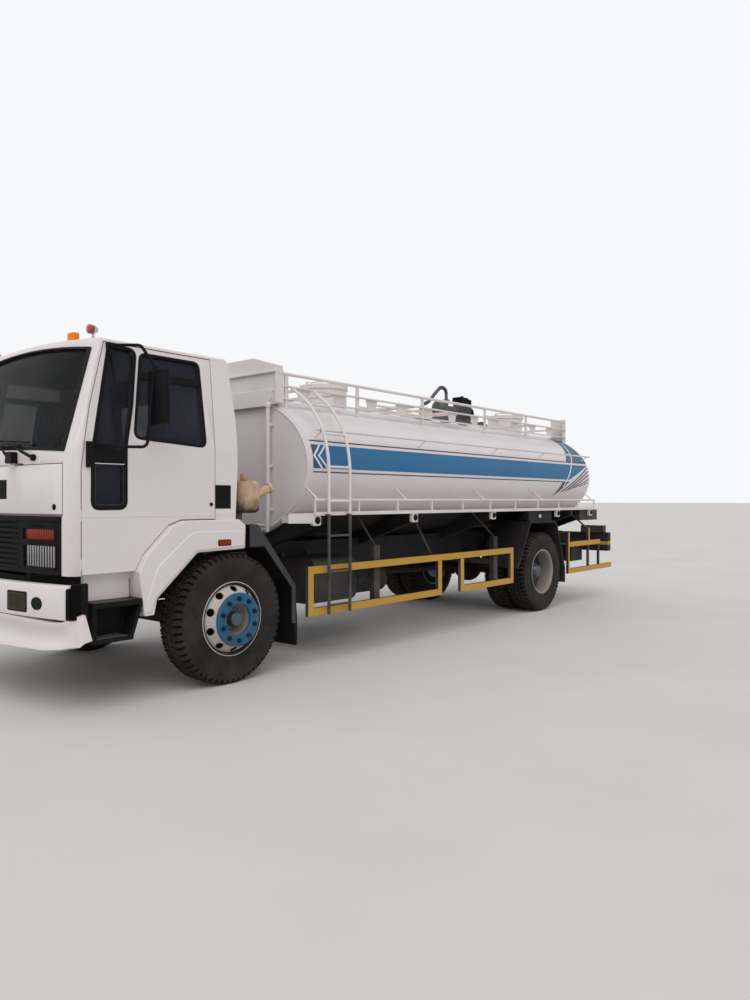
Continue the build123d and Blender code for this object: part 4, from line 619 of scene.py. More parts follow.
rear_rim = rim_barrel(WHEEL_X, WHEELBASE).join(rim_barrel(TWIN_X, WHEELBASE))
rear_rim.mark = 1
for way in (1, -1):
    dish = ((0.105, 0.014), (0.186, 0.014), (0.2, 0.022), (0.216, 0.0425), (0.243, 0.0675), (0.264, 0.0975),
            (0.2725, 0.1125))
    rear_rim.join(dished_disc(WHEELBASE, TWIN_MIDDLE, [(r, way * out) for r, out in dish], way * 0.012))
rear_hub = Shape()
rear_hub.turned([(-0.47, 0.0), (-0.47, 0.19), (-0.31, 0.19), (-0.3, 0.108), (-0.02, 0.106), (-0.012, 0.112),
                 (0.01, 0.112), (0.016, 0.1), (0.045, 0.086), (0.066, 0.072), (0.072, 0.05), (0.072, 0.0)],
                (WHEEL_X, WHEELBASE, AXLE_Z), steps=48)
rear_hub.join(nuts(WHEELBASE, WHEEL_X + 0.012, 0.094, 8, 0.008, 0.008))

# Piece, end of the truck, shape, looks, replaced node
for name, end, shape, look, node in (
    ("tyre_front", "front", tyre(WHEEL_X, 0.0), "tyre_rubber groove_rubber", "tyre_front_{}"),
    ("rim_front", "front", front_rim, "cast_iron rim_white", "rim_front_{}"),
    ("nut_ring_front", "front", front_ring, "ring_blue", ""),
    ("hub_front", "front", front_hub, "hub_paint hub_grey", ""),
    ("wheel_nuts_front", "front", nuts(0.0, FRONT_FACE + 0.016, NUT_CIRCLE, 10, 0.0165, 0.0235, 0.5),
     "nut_steel", ""),
    ("tyres_rear", "rear", tyre(WHEEL_X, WHEELBASE).join(tyre(TWIN_X, WHEELBASE)),
     "tyre_rubber groove_rubber", "tyres_rear_{}"),
    ("rims_rear", "rear", rear_rim, "rim_steel disc_dark", "rims_rear_{}"),
    ("hub_rear", "rear", rear_hub, "hub_grey", ""),
    ("wheel_nuts_rear", "rear", nuts(WHEELBASE, TWIN_MIDDLE + 0.014, NUT_CIRCLE, 10, 0.0165, 0.034),
     "nut_steel", ""),
):
    make_pair(f"{name}_dressed", shape, f"wheel_{end}_{{}}", look, node)

# Cab: rubber frames, seams, lamps, wipers and grips
DOOR_X = 1.15
ARC_RADIUS = 8.854


def side_x(z):
    """Outer skin of the cab's left side at a height."""
    return DOOR_X - 0.072 * max(0.0, z - 1.9) / 0.74


def front_of(x, z):
    """Station of the cab's front skin at a place across and a height."""
    x = abs(x)
    if x < 1.062:
        station = -1.42 + ARC_RADIUS - math.sqrt(ARC_RADIUS ** 2 - x * x)
    else:
        station = -1.2757 - math.sqrt(max(0.0, 0.08 ** 2 - (x - 1.07) ** 2))
    return station + 0.25 * max(0.0, z - 1.835) / 0.75


def front_at(z):
    return lambda x: front_of(x, z)


MAIN_WINDOW = [(-0.784, 2.566), (-0.264, 2.566), (-0.236, 1.905), (-0.868, 1.94)]
QUARTER_WINDOW = [(-1.04, 2.586), (-0.826, 2.586), (-0.88, 2.178), (-0.942, 1.87), (-0.942, 1.43),
                  (-1.2, 1.43), (-1.196, 1.86)]
door_rubber = Shape()
for outline, radius in ((MAIN_WINDOW, 0.013), (QUARTER_WINDOW, 0.016)):
    path = [(side_x(z) - 0.001, s, z) for s, z in rounded(outline, 0.052)]
    door_rubber.bar(path, radius, sides=8, closed=True, flat=(0, 0.55))
door_rubber.box((DOOR_X - 0.018, DOOR_X + 0.002), (-1.192, -0.948), (1.755, 1.845))
door_rubber.prism([(side_x(z) - inset, z) for z, inset in ((2.378, 0.016), (2.378, 0.002), (2.432, 0.002),
                                                          (2.432, 0.016))], "y", (-0.808, -0.256))
make_pair("door_rubber", door_rubber, "door_{}", "gasket_black", bevel=0.003)

grey_line = Shape()
grey_line.box((1.151, 1.1535), (-1.188, -0.95), (1.739, 1.7445))
grey_line.mark = 1
outline = rounded([(-0.963, 1.735), (-0.963, 1.452), (-1.182, 1.452), (-1.182, 1.735)], 0.035)
grey_line.bar([(1.1512, s, z) for s, z in outline], 0.0025, sides=6, closed=True)
make_pair("quarter_window_line", grey_line, "door_{}", "rail_paint step_metal", slot="black_plastic")

# The screen's edges are (reach across, z at the ends, z in the middle)
OUTER_LOW, OUTER_HIGH = (1.07, 1.819, 1.858), (0.995, 2.579, 2.646)
INNER_LOW, INNER_HIGH = (1.024, 1.844, 1.882), (0.949, 2.566, 2.633)


def screen_loop(low_edge, high_edge):
    loop = []
    for (reach, end_z, middle_z), way in ((low_edge, 1), (high_edge, -1)):
        for k in range(-12, 13):
            share = way * k / 12
            loop.append((reach * share, middle_z + (end_z - middle_z) * share * share))
    return rounded(loop, 0.02, 3)


outer_loop, inner_loop = screen_loop(OUTER_LOW, OUTER_HIGH), screen_loop(INNER_LOW, INNER_HIGH)
screen_rubber = Shape()
screen_rubber.rows([
    [(x, front_of(x, z) - proud, z) for x, z in loop]
    for loop, proud in ((outer_loop, -0.006), (outer_loop, 0.004), (inner_loop, 0.006), (inner_loop, -0.012))
], closed=True, wrap=True)
make("screen_rubber", screen_rubber, "cab", "gasket_black", smooth=50)

rear_rubber = Shape()
rear_outline = rounded([(0.56, 1.9), (0.56, 2.38), (-0.56, 2.38), (-0.56, 1.9)], 0.06)
rear_rubber.bar([(x, 0.082 - 0.029 * max(0.0, z - 2.145) / 0.245, z) for x, z in rear_outline], 0.016,
                sides=8, closed=True, flat=(1, 0.6))
make("rear_window_rubber", rear_rubber, "cab", "gasket_black")

# Creases pressed along the cab sides
CREASES = (("door_crease", "door_{}", (-1.272, -0.158)), ("corner_crease", "cab", (-0.14, 0.06)))
for name, body, stations in CREASES:
    crease = Shape()
    crease.prism([(1.1495, 1.3635), (1.1525, 1.367), (1.1525, 1.3695), (1.1495, 1.373)], "y", stations)
    make_pair(name, crease, body, "white_paint")

# Grip wells behind the doors, with the grip inside, and the locks
grip = Shape()
grip.box((1.1455, 1.1508), (-0.14, 0.004), (1.424, 1.6))
for stations, z in (((-0.146, 0.01), (1.418, 1.426)), ((-0.146, 0.01), (1.598, 1.606)),
                    ((-0.146, -0.138), (1.424, 1.6)), ((0.002, 0.01), (1.424, 1.6))):
    grip.box((1.1508, 1.1535), stations, z)
grip.box((1.151, 1.1545), (-0.12, -0.02), (1.5, 1.535))
make_pair("grip_well", grip, "cab", "black_plastic", bevel=0.002)
lock = Shape()
lock.turned([(0.0, 0.0), (0.0, 0.016), (0.003, 0.016), (0.004, 0.011), (0.003, 0.0)],
            (DOOR_X, -0.185, 1.452), steps=18)
make_pair("door_lock", lock, "door_{}", "black_plastic")

# Grille band: lips and slats
grille = Shape()
lip_places = [-1.026] + [x / 10 for x in range(-10, 11)] + [1.026]
for low, high, proud in ((1.335, 1.37, 0.007), (0.968, 0.99, 0.004)):
    grille.sweep(lip_places, front_at(1.2),
                 ((0.01, low), (-proud, low + 0.004), (-proud, high - 0.004), (0.01, high)))
for row in range(9):
    z = 1.0 + row * 0.038
    grille.sweep([-0.5 + k * 0.05 for k in range(21)], front_at(z),
                 ((0.02, z + 0.026), (-0.0035, z + 0.003), (-0.004, z - 0.004), (0.02, z + 0.014)))
make("grille_slats", grille, "cab", "black_plastic", bevel=0.0015)

# Headlamps and indicators in their frames
LAMP_HEIGHT = 1.1


def fluted(x_low, x_high, z_low, z_high, flutes, depth):
    """Lens with upright flutes that follows the curve of the cab's front."""
    shape = Shape()
    steps = flutes * 4
    rows = []
    for k in range(steps + 1):
        x = x_low + (x_high - x_low) * k / steps
        inset = 0.006 if k in (0, steps) else 0.0
        face = front_of(x, LAMP_HEIGHT) - 0.003 - depth * (0.5 - 0.5 * math.cos(TURN * k / 4))
        rows.append([(x, face + back, z) for back, z in (
            (0.03, z_low), (0.004 + inset, z_low), (inset, z_low + 0.006), (inset, z_high - 0.006),
            (0.004 + inset, z_high), (0.03, z_high))])
    shape.rows(rows, closed=True, ends=True)
    return both(shape)


make("headlamps", fluted(0.618, 0.968, 1.016, 1.168, 11, 0.007), "cab", "clear_lens", smooth=60,
     replaces="front_lamps")
make("indicators", fluted(0.605, 0.957, 1.207, 1.285, 12, 0.004), "cab", "amber_lens", smooth=60)
lamp_frames = Shape()
for k in range(12):
    x = 0.618 + 0.35 * k / 11
    face = front_of(x, LAMP_HEIGHT)
    lamp_frames.box((x - 0.0045, x + 0.0045), (face - 0.0075, face + 0.002), (1.02, 1.164))
for edges in ((0.614, 0.972, 1.012, 1.172), (0.601, 0.961, 1.203, 1.289)):
    path = [(x, front_of(x, LAMP_HEIGHT) - 0.003, z) for x, z in rounded(rect(*edges), 0.018, 4)]
    lamp_frames.bar(path, 0.0075, sides=6, closed=True)
make("lamp_frames", both(lamp_frames), "cab", "black_plastic")

# Bonnet flap: vent, latches and the dark strips beside it
VENT_HALF, VENT_LOW, VENT_HIGH = 0.322, 1.494, 1.636
vent = Shape()
for row in range(6):
    z = VENT_LOW + 0.01 + row * 0.0225
    vent.sweep([(k / 7 - 1) * (VENT_HALF - 0.012) for k in range(15)], front_at(z),
               ((0.003, z), (-0.0055, z + 0.003), (-0.0055, z + 0.011), (0.003, z + 0.017)))
vent.sweep([(k / 8 - 1) * VENT_HALF for k in range(17)], front_at(1.5),
           ((0.003, VENT_LOW), (-0.0018, VENT_LOW), (-0.0018, VENT_HIGH), (0.003, VENT_HIGH)))
make("flap_vent", vent, "front_flap", "black_plastic")
latch = Shape()
for x in (0.942, -0.942):
    centre = (x, front_of(x, 1.438), 1.438)
    latch.turned([(-0.004, 0.0), (-0.004, 0.019), (0.002, 0.024), (0.006, 0.024), (0.006, 0.0)],
                 centre, 20, "y")
    latch.turned([(-0.0075, 0.0), (-0.0075, 0.008), (-0.003, 0.01), (-0.003, 0.0)], centre, 12, "y")
make("flap_latches", latch, "front_flap", "gasket_black")
strip = Shape()
strip_corners = ((1.0325, 1.032, 0.004), (1.0415, 1.042, 0.004), (1.0415, 1.042, 0.03), (1.0325, 1.032, 0.03))
strip.prism([(x, front_of(near, 1.5) + back) for x, near, back in strip_corners], "z", (1.373, 1.738))
make_pair("flap_side_strip", strip, "cab", "gasket_black")

# Wipers, parked low on the screen
PIVOT_Z = 1.788


def on_front(x, z, proud):
    return Vector((x, front_of(x, z) - proud, z))


def wiper(pivot_x, knee, hold, right, left):
    """Wiper: pivot, knee, hold on the blade, and the blade's right and left end, as (x, z)."""
    shape = Shape()
    shape.turned([(0.014, 0.0), (0.014, 0.023), (-0.02, 0.024), (-0.028, 0.017), (-0.03, 0.0)],
                 on_front(pivot_x, PIVOT_Z, 0.0), 16, "y")
    shape.bar([on_front(pivot_x, PIVOT_Z, 0.02), on_front(*knee, 0.034)], 0.0125, sides=8, flat=(1, 0.7))
    shape.bar([on_front(*knee, 0.034), on_front(*hold, 0.032)], 0.0055, sides=6)
    shares = [0.0, 0.25, 0.5, 0.75, 1.0]
    places = [(right[0] + (left[0] - right[0]) * t, right[1] + (left[1] - right[1]) * t) for t in shares]
    shape.bar([on_front(*p, 0.008) for p in places], 0.006, sides=6, flat=(1, 1.5))
    shape.bar([on_front(*p, 0.02 - 0.008 * abs(t - 0.5)) for p, t in zip(places, shares)], 0.0065, sides=6)
    for p in (places[1], places[3], hold):
        shape.bar([on_front(*p, 0.03), on_front(*p, 0.008)], 0.006, sides=6)
    return shape


wipers = wiper(0.706, (0.56, 1.845), (0.36, 1.918), (0.62, 1.9), (0.09, 1.938))
wipers.join(wiper(0.4, (0.34, 1.84), (0.25, 1.89), (0.51, 1.878), (0.0, 1.888)))
wipers.join(wiper(-0.3, (-0.446, 1.853), (-0.646, 1.905), (-0.386, 1.903), (-0.91, 1.9)))
for x in (0.43, -0.33):
    face = front_of(x, PIVOT_Z)
    foot = [(x - 0.055, 1.752), (x + 0.055, 1.752), (x + 0.05, 1.836), (x - 0.035, 1.838)]
    wipers.prism(rounded(foot, 0.02, 3), "y", (face - 0.046, face + 0.004))
hose = (0.44, 1.77, 0.03), (0.47, 1.758, 0.02), (0.5, 1.746, 0.006), (0.56, 1.7455, 0.003)
wipers.bar(smooth_path([on_front(*p) for p in hose], 0.02), 0.0045, sides=6)
make("wipers", wipers, "cab", "gasket_black", smooth=50, bevel=0.002)

# Roof lamps: orange markers and round lamps on stalks
markers = Shape()
markers.prism(rounded(rect(0.602, 0.696, 2.65, 2.734), 0.014, 3), "y", (-1.094, -1.046))
make("roof_markers", both(markers), "cab", "orange_lens", bevel=0.006, replaces="roof_lamps")
beacons = Shape()
beacons.turned([(0.0, 0.0), (0.0, 0.028), (0.006, 0.034), (0.026, 0.034), (0.032, 0.028), (0.034, 0.0)],
               (0.91, -1.099, 2.724), 24, "y")
beacons.mark = 1
beacons.turned([(0.0, 0.0), (0.002, 0.031), (0.016, 0.031), (0.036, 0.019), (0.042, 0.0)],
               (0.91, -1.065, 2.724), 24, "y")
beacons.turned([(0.0, 0.014), (0.05, 0.01), (0.05, 0.0)], (0.91, -1.06, 2.645), 14, "z")
make("roof_beacons", both(beacons), "cab", "red_lens chrome", smooth=50)

# Front bumper
BEAM_HALF, BEAM_LOW, BEAM_HIGH = 1.142, 0.668, 0.905
SKIRT_SECTION = ((0.0, -0.05), (0.0, -0.004), (0.02, 0.008), (0.08, 0.008), (0.22, -0.008), (0.42, -0.022),
                 (0.6, -0.022), (0.78, -0.01), (0.92, 0.006), (0.98, 0.008), (1.0, 0.0), (1.0, -0.05))
SKIRT_TOP = ((0.0, 0.668), (0.5, 0.664), (0.98, 0.648), (1.1, 0.657), (1.2045, 0.714))
SKIRT_BOTTOM = ((0.0, 0.438), (0.4, 0.44), (0.92, 0.449), (1.1, 0.472), (1.178, 0.494), (1.2045, 0.534))


def bumper_front(x):
    return -1.5 + 0.105 * (x / 1.09) ** 2


def beam_front(x):
    """Face of the beam, turned back at its ends."""
    return bumper_front(x) + 0.014 * (max(0.0, abs(x) - 1.1) / 0.042) ** 2


bumper = Shape()
bumper.sweep([(k / 24 - 1) * BEAM_HALF for k in range(49)], beam_front, (
    (0.06, BEAM_LOW), (0.012, BEAM_LOW), (0.003, BEAM_LOW + 0.004), (0.0, BEAM_LOW + 0.014),
    (0.0, BEAM_HIGH - 0.018), (0.005, BEAM_HIGH - 0.006), (0.016, BEAM_HIGH), (0.06, BEAM_HIGH)), ends=True)

# Skirt under the bumper: rolled top, hollow face and flared lower edge
plan = [(1.085 * (k / 20 - 1), -1.5 + 0.109 * (k / 20 - 1) ** 2) for k in range(41)]
tail = [(1.148, -1.362), (1.178, -1.338), (1.196, -1.31), (1.2045, -1.285)]
rows = []
for x, station in [(-x, s) for x, s in reversed(tail)] + plan + tail:
    reach = abs(x)
    top, bottom = blend(reach, SKIRT_TOP), blend(reach, SKIRT_BOTTOM)
    side_way = min(1.0, max(0.0, (reach - 1.09) / 0.1))
    row = []
    for share, out in SKIRT_SECTION:
        lean = 0.05 * (share - 0.5) if reach > 1.2 else 0.0
        row.append((x + math.copysign(out * side_way, x), station - out * (1 - side_way) + lean,
                    top + (bottom - top) * share))
    rows.append(row)
bumper.rows(rows, closed=True, ends=True)
make("front_bumper_dressed", bumper, "chassis", "white_paint", smooth=44, replaces="front_bumper")

bumper_lamps = Shape()
for mark, edges, pushes in ((0, (0.484, 0.722, 0.699, 0.843), (0.01, -0.004)),
                            (1, (0.497, 0.709, 0.712, 0.83), (0.0, -0.0065))):
    bumper_lamps.mark = mark
    rows = [[(x, bumper_front(x) + push, z) for x, z in rounded(rect(*edges), 0.012, 3)] for push in pushes]
    bumper_lamps.rows(rows, closed=True)
    bumper_lamps.grow(rows[1], [tuple(range(len(rows[1])))])
for k in range(8):
    x = 0.515 + k * 0.0245
    bumper_lamps.box((x - 0.002, x + 0.002), (bumper_front(x) - 0.0095, bumper_front(x)), (0.718, 0.824))
bumper_lamps.mark = 0
rows = []
for push, size in ((0.012, 1.0), (-0.004, 1.0), (-0.006, 0.86), (-0.003, 0.8), (-0.003, 0.0)):
    turns = [TURN * k / 28 for k in range(28)]
    ring = [(0.834 + 0.058 * size * math.cos(a), 0.769 + 0.045 * size * math.sin(a)) for a in turns]
    rows.append([(x, bumper_front(x) + push, z) for x, z in ring])
bumper_lamps.rows(rows, closed=True)
make("bumper_lamps", both(bumper_lamps), "chassis", "gasket_black dull_lens", smooth=40)

# Rubber corners with upright pleats
plan = smooth_path([(1.136, -1.384, 0), (1.17, -1.372, 0), (1.196, -1.332, 0), (1.2, -1.262, 0)], 0.05, 12)
rows = []
count = len(plan) * 3
for k in range(count):
    place = k / (count - 1) * (len(plan) - 1)
    i = min(len(plan) - 2, int(place))
    p = plan[i].lerp(plan[i + 1], place - i)
    way = (plan[i + 1] - plan[i]).normalized()
    out = Vector((way.y, -way.x, 0))
    wave = 0.0035 * math.cos(TURN * k / 6)
    top = 0.876 if p.x < 1.17 else 0.906
    section = ((0.672, -0.03), (0.672, -0.004), (0.682, 0.002 + wave), (top, 0.002 + wave),
               (top + 0.012, -0.006), (top + 0.012, -0.03))
    rows.append([(p.x + out.x * push, p.y + out.y * push, z) for z, push in section])
corner = Shape()
corner.rows(rows, closed=True, ends=True)
make("bumper_corners_dressed", both(corner), "chassis", "black_plastic", smooth=40, replaces="bumper_corners")

# Steps: chequered treads
tread = Shape()
for count, rows_deep, first_x, apart, z in ((6, 9, 1.025, 0.032, 0.7765), (5, 6, 1.06, 0.03, 0.5265)):
    for k in range(count):
        for j in range(rows_deep):
            station, x = -1.205 + j * 0.045, first_x + k * apart
            way = 0.012 if (k + j) % 2 else -0.012
            tread.bar([(x - 0.008, station - way, z), (x + 0.008, station + way, z)], 0.0035, sides=4)
tread.box((1.022, 1.198), (-1.225, -0.95), (0.7745, 0.7765))
tread.box((1.05, 1.2), (-1.225, -0.957), (0.5245, 0.5265))
make_pair("step_treads", tread, "cab", "step_metal")

# Grey edges of the mudguards behind the front wheels
edge = Shape()
edge.prism([(0.172, 1.292), (0.262, 1.28), (0.69, 0.742), (0.692, 0.41), (0.648, 0.41), (0.645, 0.722),
            (0.325, 1.1), (0.172, 1.1)], "x", (1.195, 1.205))
make_pair("mudguard_edge", edge, "chassis", "edge_grey", bevel=0.003)

# Side repeater on the fender, and the fender's raised panel
repeater = Shape()
repeater.prism(rounded(rect(-0.16, -0.04, 1.128, 1.166), 0.01, 3), "x", (1.203, 1.2235))
repeater.mark = 1
repeater.prism(rounded(rect(-0.166, -0.034, 1.122, 1.172), 0.012, 3), "x", (1.2, 1.2165))
make_pair("side_repeater", repeater, "cab", "amber_lens gasket_black", bevel=0.004)
panel = Shape()
outline = [(0.112, 1.238), (-0.375, 1.248), (-0.43, 1.226), (-0.715, 1.0), (-0.745, 0.935), (-0.8, 0.775),
           (-0.816, 0.66), (-0.772, 0.66), (-0.72, 0.775), (-0.372, 1.092), (0.112, 1.108)]
panel.prism(rounded(outline, 0.03, 3), "x", (1.19, 1.212))
make_pair("fender_panel", panel, "cab", "white_paint", bevel=0.01)

# Mirror glasses and their clamps
glass = Shape()
glass.prism(rounded(rect(1.276, 1.424, 2.05, 2.38), 0.02, 3), "y", (-0.768, -0.7668))
make_pair("mirror_glass", glass, "door_{}", "looking_glass")
clamps = Shape()
for place in ((1.336, -0.883, 1.93), (1.3445, -0.8345, 2.415)):
    clamps.turned([(-0.018, 0.0), (-0.018, 0.019), (0.018, 0.019), (0.018, 0.0)], place, 14, "z")
make_pair("mirror_clamps", clamps, "door_{}", "mirror_black")

# Dark lining inside the cab: headliner and back wall around the rear window
LINING_X = (-1.02, 1.02)
lining = Shape()
lining.box(LINING_X, (-0.98, 0.0), (2.575, 2.58))
lining.box(LINING_X, (0.012, 0.02), (1.42, 1.89))
lining.box(LINING_X, (-0.02, -0.012), (2.4, 2.575))
for side in (-1, 1):
    lining.box((0.575 * side, 1.02 * side), (0.0, 0.008), (1.89, 2.4))
make("cab_lining", lining, "cab", "trim_cloth")

dash = Shape()
for outline, radius, across in (
    ([(-1.32, 1.8125), (-1.17, 1.8125), (-1.175, 1.83), (-1.3, 1.832)], 0.01, (-1.0, 1.0)),
    ([(-1.2, 1.813), (-1.12, 1.813), (-1.135, 1.865), (-1.19, 1.875)], 0.02, (0.36, 0.76)),
):
    dash.prism(rounded(outline, radius, 3), "x", across)
make("dashboard_top", dash, "cab", "dash_plastic", bevel=0.004)

# Curtain drawn back behind the door window
curtain = Shape()
rows = []
for k in range(25):
    s = -0.56 + 0.27 * k / 24
    wave = 0.014 * math.sin(k * 1.35)
    rows.append([(1.03 + wave * 0.4, s + 0.05, 2.4), (1.06 + wave, s + 0.02, 2.2), (1.075 + wave, s, 1.97)])
curtain.rows(rows)
make_pair("door_curtain", curtain, "door_{}", "curtain_cloth", smooth=70)

# Tank: stripes, seams, rails and fittings
TANK_X, TANK_Z, TANK_MID = 1.15, 0.72, 1.81
TANK_FRONT, TANK_REAR = 0.92, 6.88
STRIPE_FRONT, STRIPE_REAR = 0.965, 6.872


def flank(shape, z_low, z_high, front, rear, proud=0.0015, steps=6):
    """Painted patch on the left flank; front and rear are stations at the low and the high edge."""
    rows = []
    for k in range(steps + 1):
        t = k / steps
        z = z_low + (z_high - z_low) * t
        share = (z - TANK_MID) / (TANK_Z + proud)
        x = (TANK_X + proud) * math.sqrt(max(0.0, 1 - share * share))
        ends = front[0] + (front[1] - front[0]) * t, rear[0] + (rear[1] - rear[0]) * t
        rows.append([(x, ends[0] + (ends[1] - ends[0]) * j / 4, z) for j in range(5)])
    shape.rows(rows)


def on_shell(angle, station, proud):
    return (TANK_X + proud) * math.cos(angle), station, TANK_MID + (TANK_Z + proud) * math.sin(angle)


STRAIGHT_FRONT, STRAIGHT_REAR = (STRIPE_FRONT, STRIPE_FRONT), (STRIPE_REAR, STRIPE_REAR)
band = Shape()
flank(band, 1.779, 1.998, STRAIGHT_FRONT, (6.2, 6.84), steps=10)
make_pair("stripe_band", band, "chassis", "stripe_blue", smooth=60)
lines = Shape()
flank(lines, 1.739, 1.751, STRAIGHT_FRONT, (6.0, 6.0), steps=2)
flank(lines, 2.028, 2.041, STRAIGHT_FRONT, STRAIGHT_REAR, steps=2)
flank(lines, 1.545, 1.751, (5.82, 6.0), (5.83, 6.21))
for z_low, z_high, s_low in ((1.6, 1.972, 5.99), (1.61, 1.922, 6.1), (1.63, 1.865, 6.22), (1.66, 1.8, 6.36),
                             (1.69, 1.75, 6.52)):
    flank(lines, z_low, z_high, (s_low, 6.82), (s_low + 0.05, 6.87), steps=8)
lines.mark = 1
flank(lines, 2.041, 2.2, (6.2, 6.42), STRAIGHT_REAR)
flank(lines, 2.2, 2.44, (6.42, 6.68), STRAIGHT_REAR, steps=8)
lines.mark = 0
flank(lines, 1.779, 1.88, STRAIGHT_FRONT, (STRIPE_FRONT + 0.08, STRIPE_FRONT + 0.004), 0.002, 4)
flank(lines, 1.908, 1.998, STRAIGHT_FRONT, (STRIPE_FRONT + 0.012, STRIPE_FRONT + 0.09), 0.002, 4)
make_pair("stripe_lines", lines, "chassis", "stripe_dark stripe_haze", smooth=60)
pale = Shape()
for tip, reach in ((0.968, 0.1), (1.03, 0.115)):
    flank(pale, 1.894, 2.0, (tip, tip + reach), (tip + 0.026, tip + reach + 0.026), 0.0025, 5)
    flank(pale, 1.777, 1.894, (tip + reach, tip), (tip + reach + 0.026, tip + 0.026), 0.0025, 5)
swoop = ((1.67, 6.02), (1.8, 6.13), (1.95, 6.27), (2.12, 6.46), (2.28, 6.6), (2.42, 6.72))
for (z_low, s_low), (z_high, s_high) in zip(swoop, swoop[1:]):
    flank(pale, z_low, z_high, (s_low, s_high), (s_low + 0.032, s_high + 0.032), 0.0028, 5)
make_pair("stripe_pinstripes", pale, "chassis", "stripe_white", smooth=60)

seams = Shape()
for station in (0.935, 2.41, 3.9, 5.39, 6.865):
    seams.rows([[on_shell(TURN * k / 96, station + along, proud)
                 for along, proud in ((-0.008, -0.001), (-0.004, 0.0011), (0.004, 0.0011), (0.008, -0.001))]
                for k in range(97)])
make("tank_seams", seams, "chassis", "tank_paint", smooth=60)

head_rims = Shape()
for station, way in ((TANK_FRONT, -1), (TANK_REAR, 1)):
    head_rims.rows([[on_shell(TURN * k / 96, station + way * out, -inset)
                     for inset, out in ((0.014, -0.004), (0.02, 0.006), (0.034, 0.0065), (0.042, -0.002))]
                    for k in range(96)], closed=True, wrap=True)
make("head_rims", head_rims, "chassis", "tank_paint", smooth=60)

RAIL_X, RAIL_Z = 1.158, 2.13
pipe_rail = Shape()
pipe_rail.bar([(RAIL_X, 1.0, RAIL_Z), (RAIL_X, 6.84, RAIL_Z)], 0.011, sides=8)
for station in (1.08, 2.69, 4.2, 5.43, 6.76):
    pipe_rail.bar([(RAIL_X, station, RAIL_Z), (1.085, station - 0.03, 2.07)], 0.008, sides=6)
make_pair("shell_pipe_rail", pipe_rail, "chassis", "rail_paint")

# Drain pipe in front of the head, and the apron under the headboard
pipe = Shape()
pipe_route = [(0.655, 0.93, 2.405), (0.655, 0.86, 2.4), (0.652, 0.86, 1.5), (0.645, 0.86, 1.19)]
pipe.bar(smooth_path(pipe_route, 0.03), 0.021, sides=14)
pipe.bar([(0.5, 0.87, 1.25), (0.645, 0.86, 1.238)], 0.014)
for z in (1.4, 1.81, 2.2):
    pipe.box((0.638, 0.668), (0.862, 0.915), (z - 0.012, z + 0.012))
pipe.turned([(-0.012, 0.0), (-0.012, 0.029), (0.012, 0.029), (0.012, 0.0)], (0.655, 0.86, 2.375), 16, "z")
make("head_pipe_dressed", pipe, "chassis", "rail_paint", smooth=50, replaces="head_pipe")
apron = Shape()
apron.prism([(-0.7, 2.45), (-0.63, 2.374), (0.63, 2.374), (0.7, 2.45), (0.7, 2.53), (-0.7, 2.53)],
            "y", (0.858, 0.9))
apron.box((-0.752, 0.752), (0.866, 0.88), (2.502, 2.508))
make("headboard_apron", apron, "chassis", "tank_paint", bevel=0.004)

# Black sheet over the underside of the shell, below the trays: painted shade
underside = Shape()
underside.rows([[on_shell(math.radians(-41 - 98 * k / 40), 1.0 + 5.8 * j / 8, 0.0015) for j in range(9)]
                for k in range(41)])
make("tank_underside_shade", underside, "chassis", "chassis_black", slot="white_paint", smooth=60)

# Lamps hung under the trays, white housings with dark lenses, and a white plate and lamp beside them
tray_lamps = Shape()
for station in (0.941, 2.409, 3.992, 5.695, 6.761):
    tray_lamps.mark = 0
    housing = rounded(rect(station - 0.052, station + 0.052, 1.255, 1.346), 0.018, 4)
    tray_lamps.prism(housing, "x", (1.19, 1.22))
    tray_lamps.mark = 1
    tray_lamps.turned([(0.0, 0.0), (0.0, 0.031), (0.004, 0.034), (0.01, 0.031), (0.014, 0.018), (0.015, 0.0)],
                      (1.219, station + 0.006, 1.303))
tray_lamps.mark = 0
tray_lamps.prism([(0.6, 1.366), (0.6, 1.282), (0.9, 1.275), (0.9, 1.366)], "x", (1.2, 1.212))
tray_lamps.turned([(-0.01, 0.0), (-0.01, 0.024), (0.004, 0.024), (0.007, 0.018), (0.008, 0.0)],
                  (1.2, 5.21, 1.272), 20)
make_pair("tray_lamps", tray_lamps, "chassis", "rail_paint gasket_black", smooth=50)

# Ladder on the left flank, bent over the shell
LADDER_X = 1.27
LADDER_RAILS = (1.045, 1.33)
ladder = Shape()
for station in LADDER_RAILS:
    bends = ((LADDER_X, 0.45), (LADDER_X, 1.87), (1.195, 2.15), (1.02, 2.385), (0.8, 2.54))
    ladder.bar(smooth_path([(x, station, z) for x, z in bends], 0.2, 8), 0.015, sides=12)
    for x, z in (((0.776, 0.83), (2.52, 2.545)), ((1.235, LADDER_X), (1.346, 1.366))):
        ladder.box(x, (station - 0.012, station + 0.012), z)
for z, x in ((0.53, LADDER_X), (0.845, LADDER_X), (1.16, LADDER_X), (1.475, LADDER_X), (1.79, LADDER_X),
             (2.095, 1.212), (2.378, 1.02)):
    ladder.bar([(x, station, z) for station in LADDER_RAILS], 0.011)
make("ladder_dressed", ladder, "chassis", "ladder_paint", smooth=50, replaces="ladder")

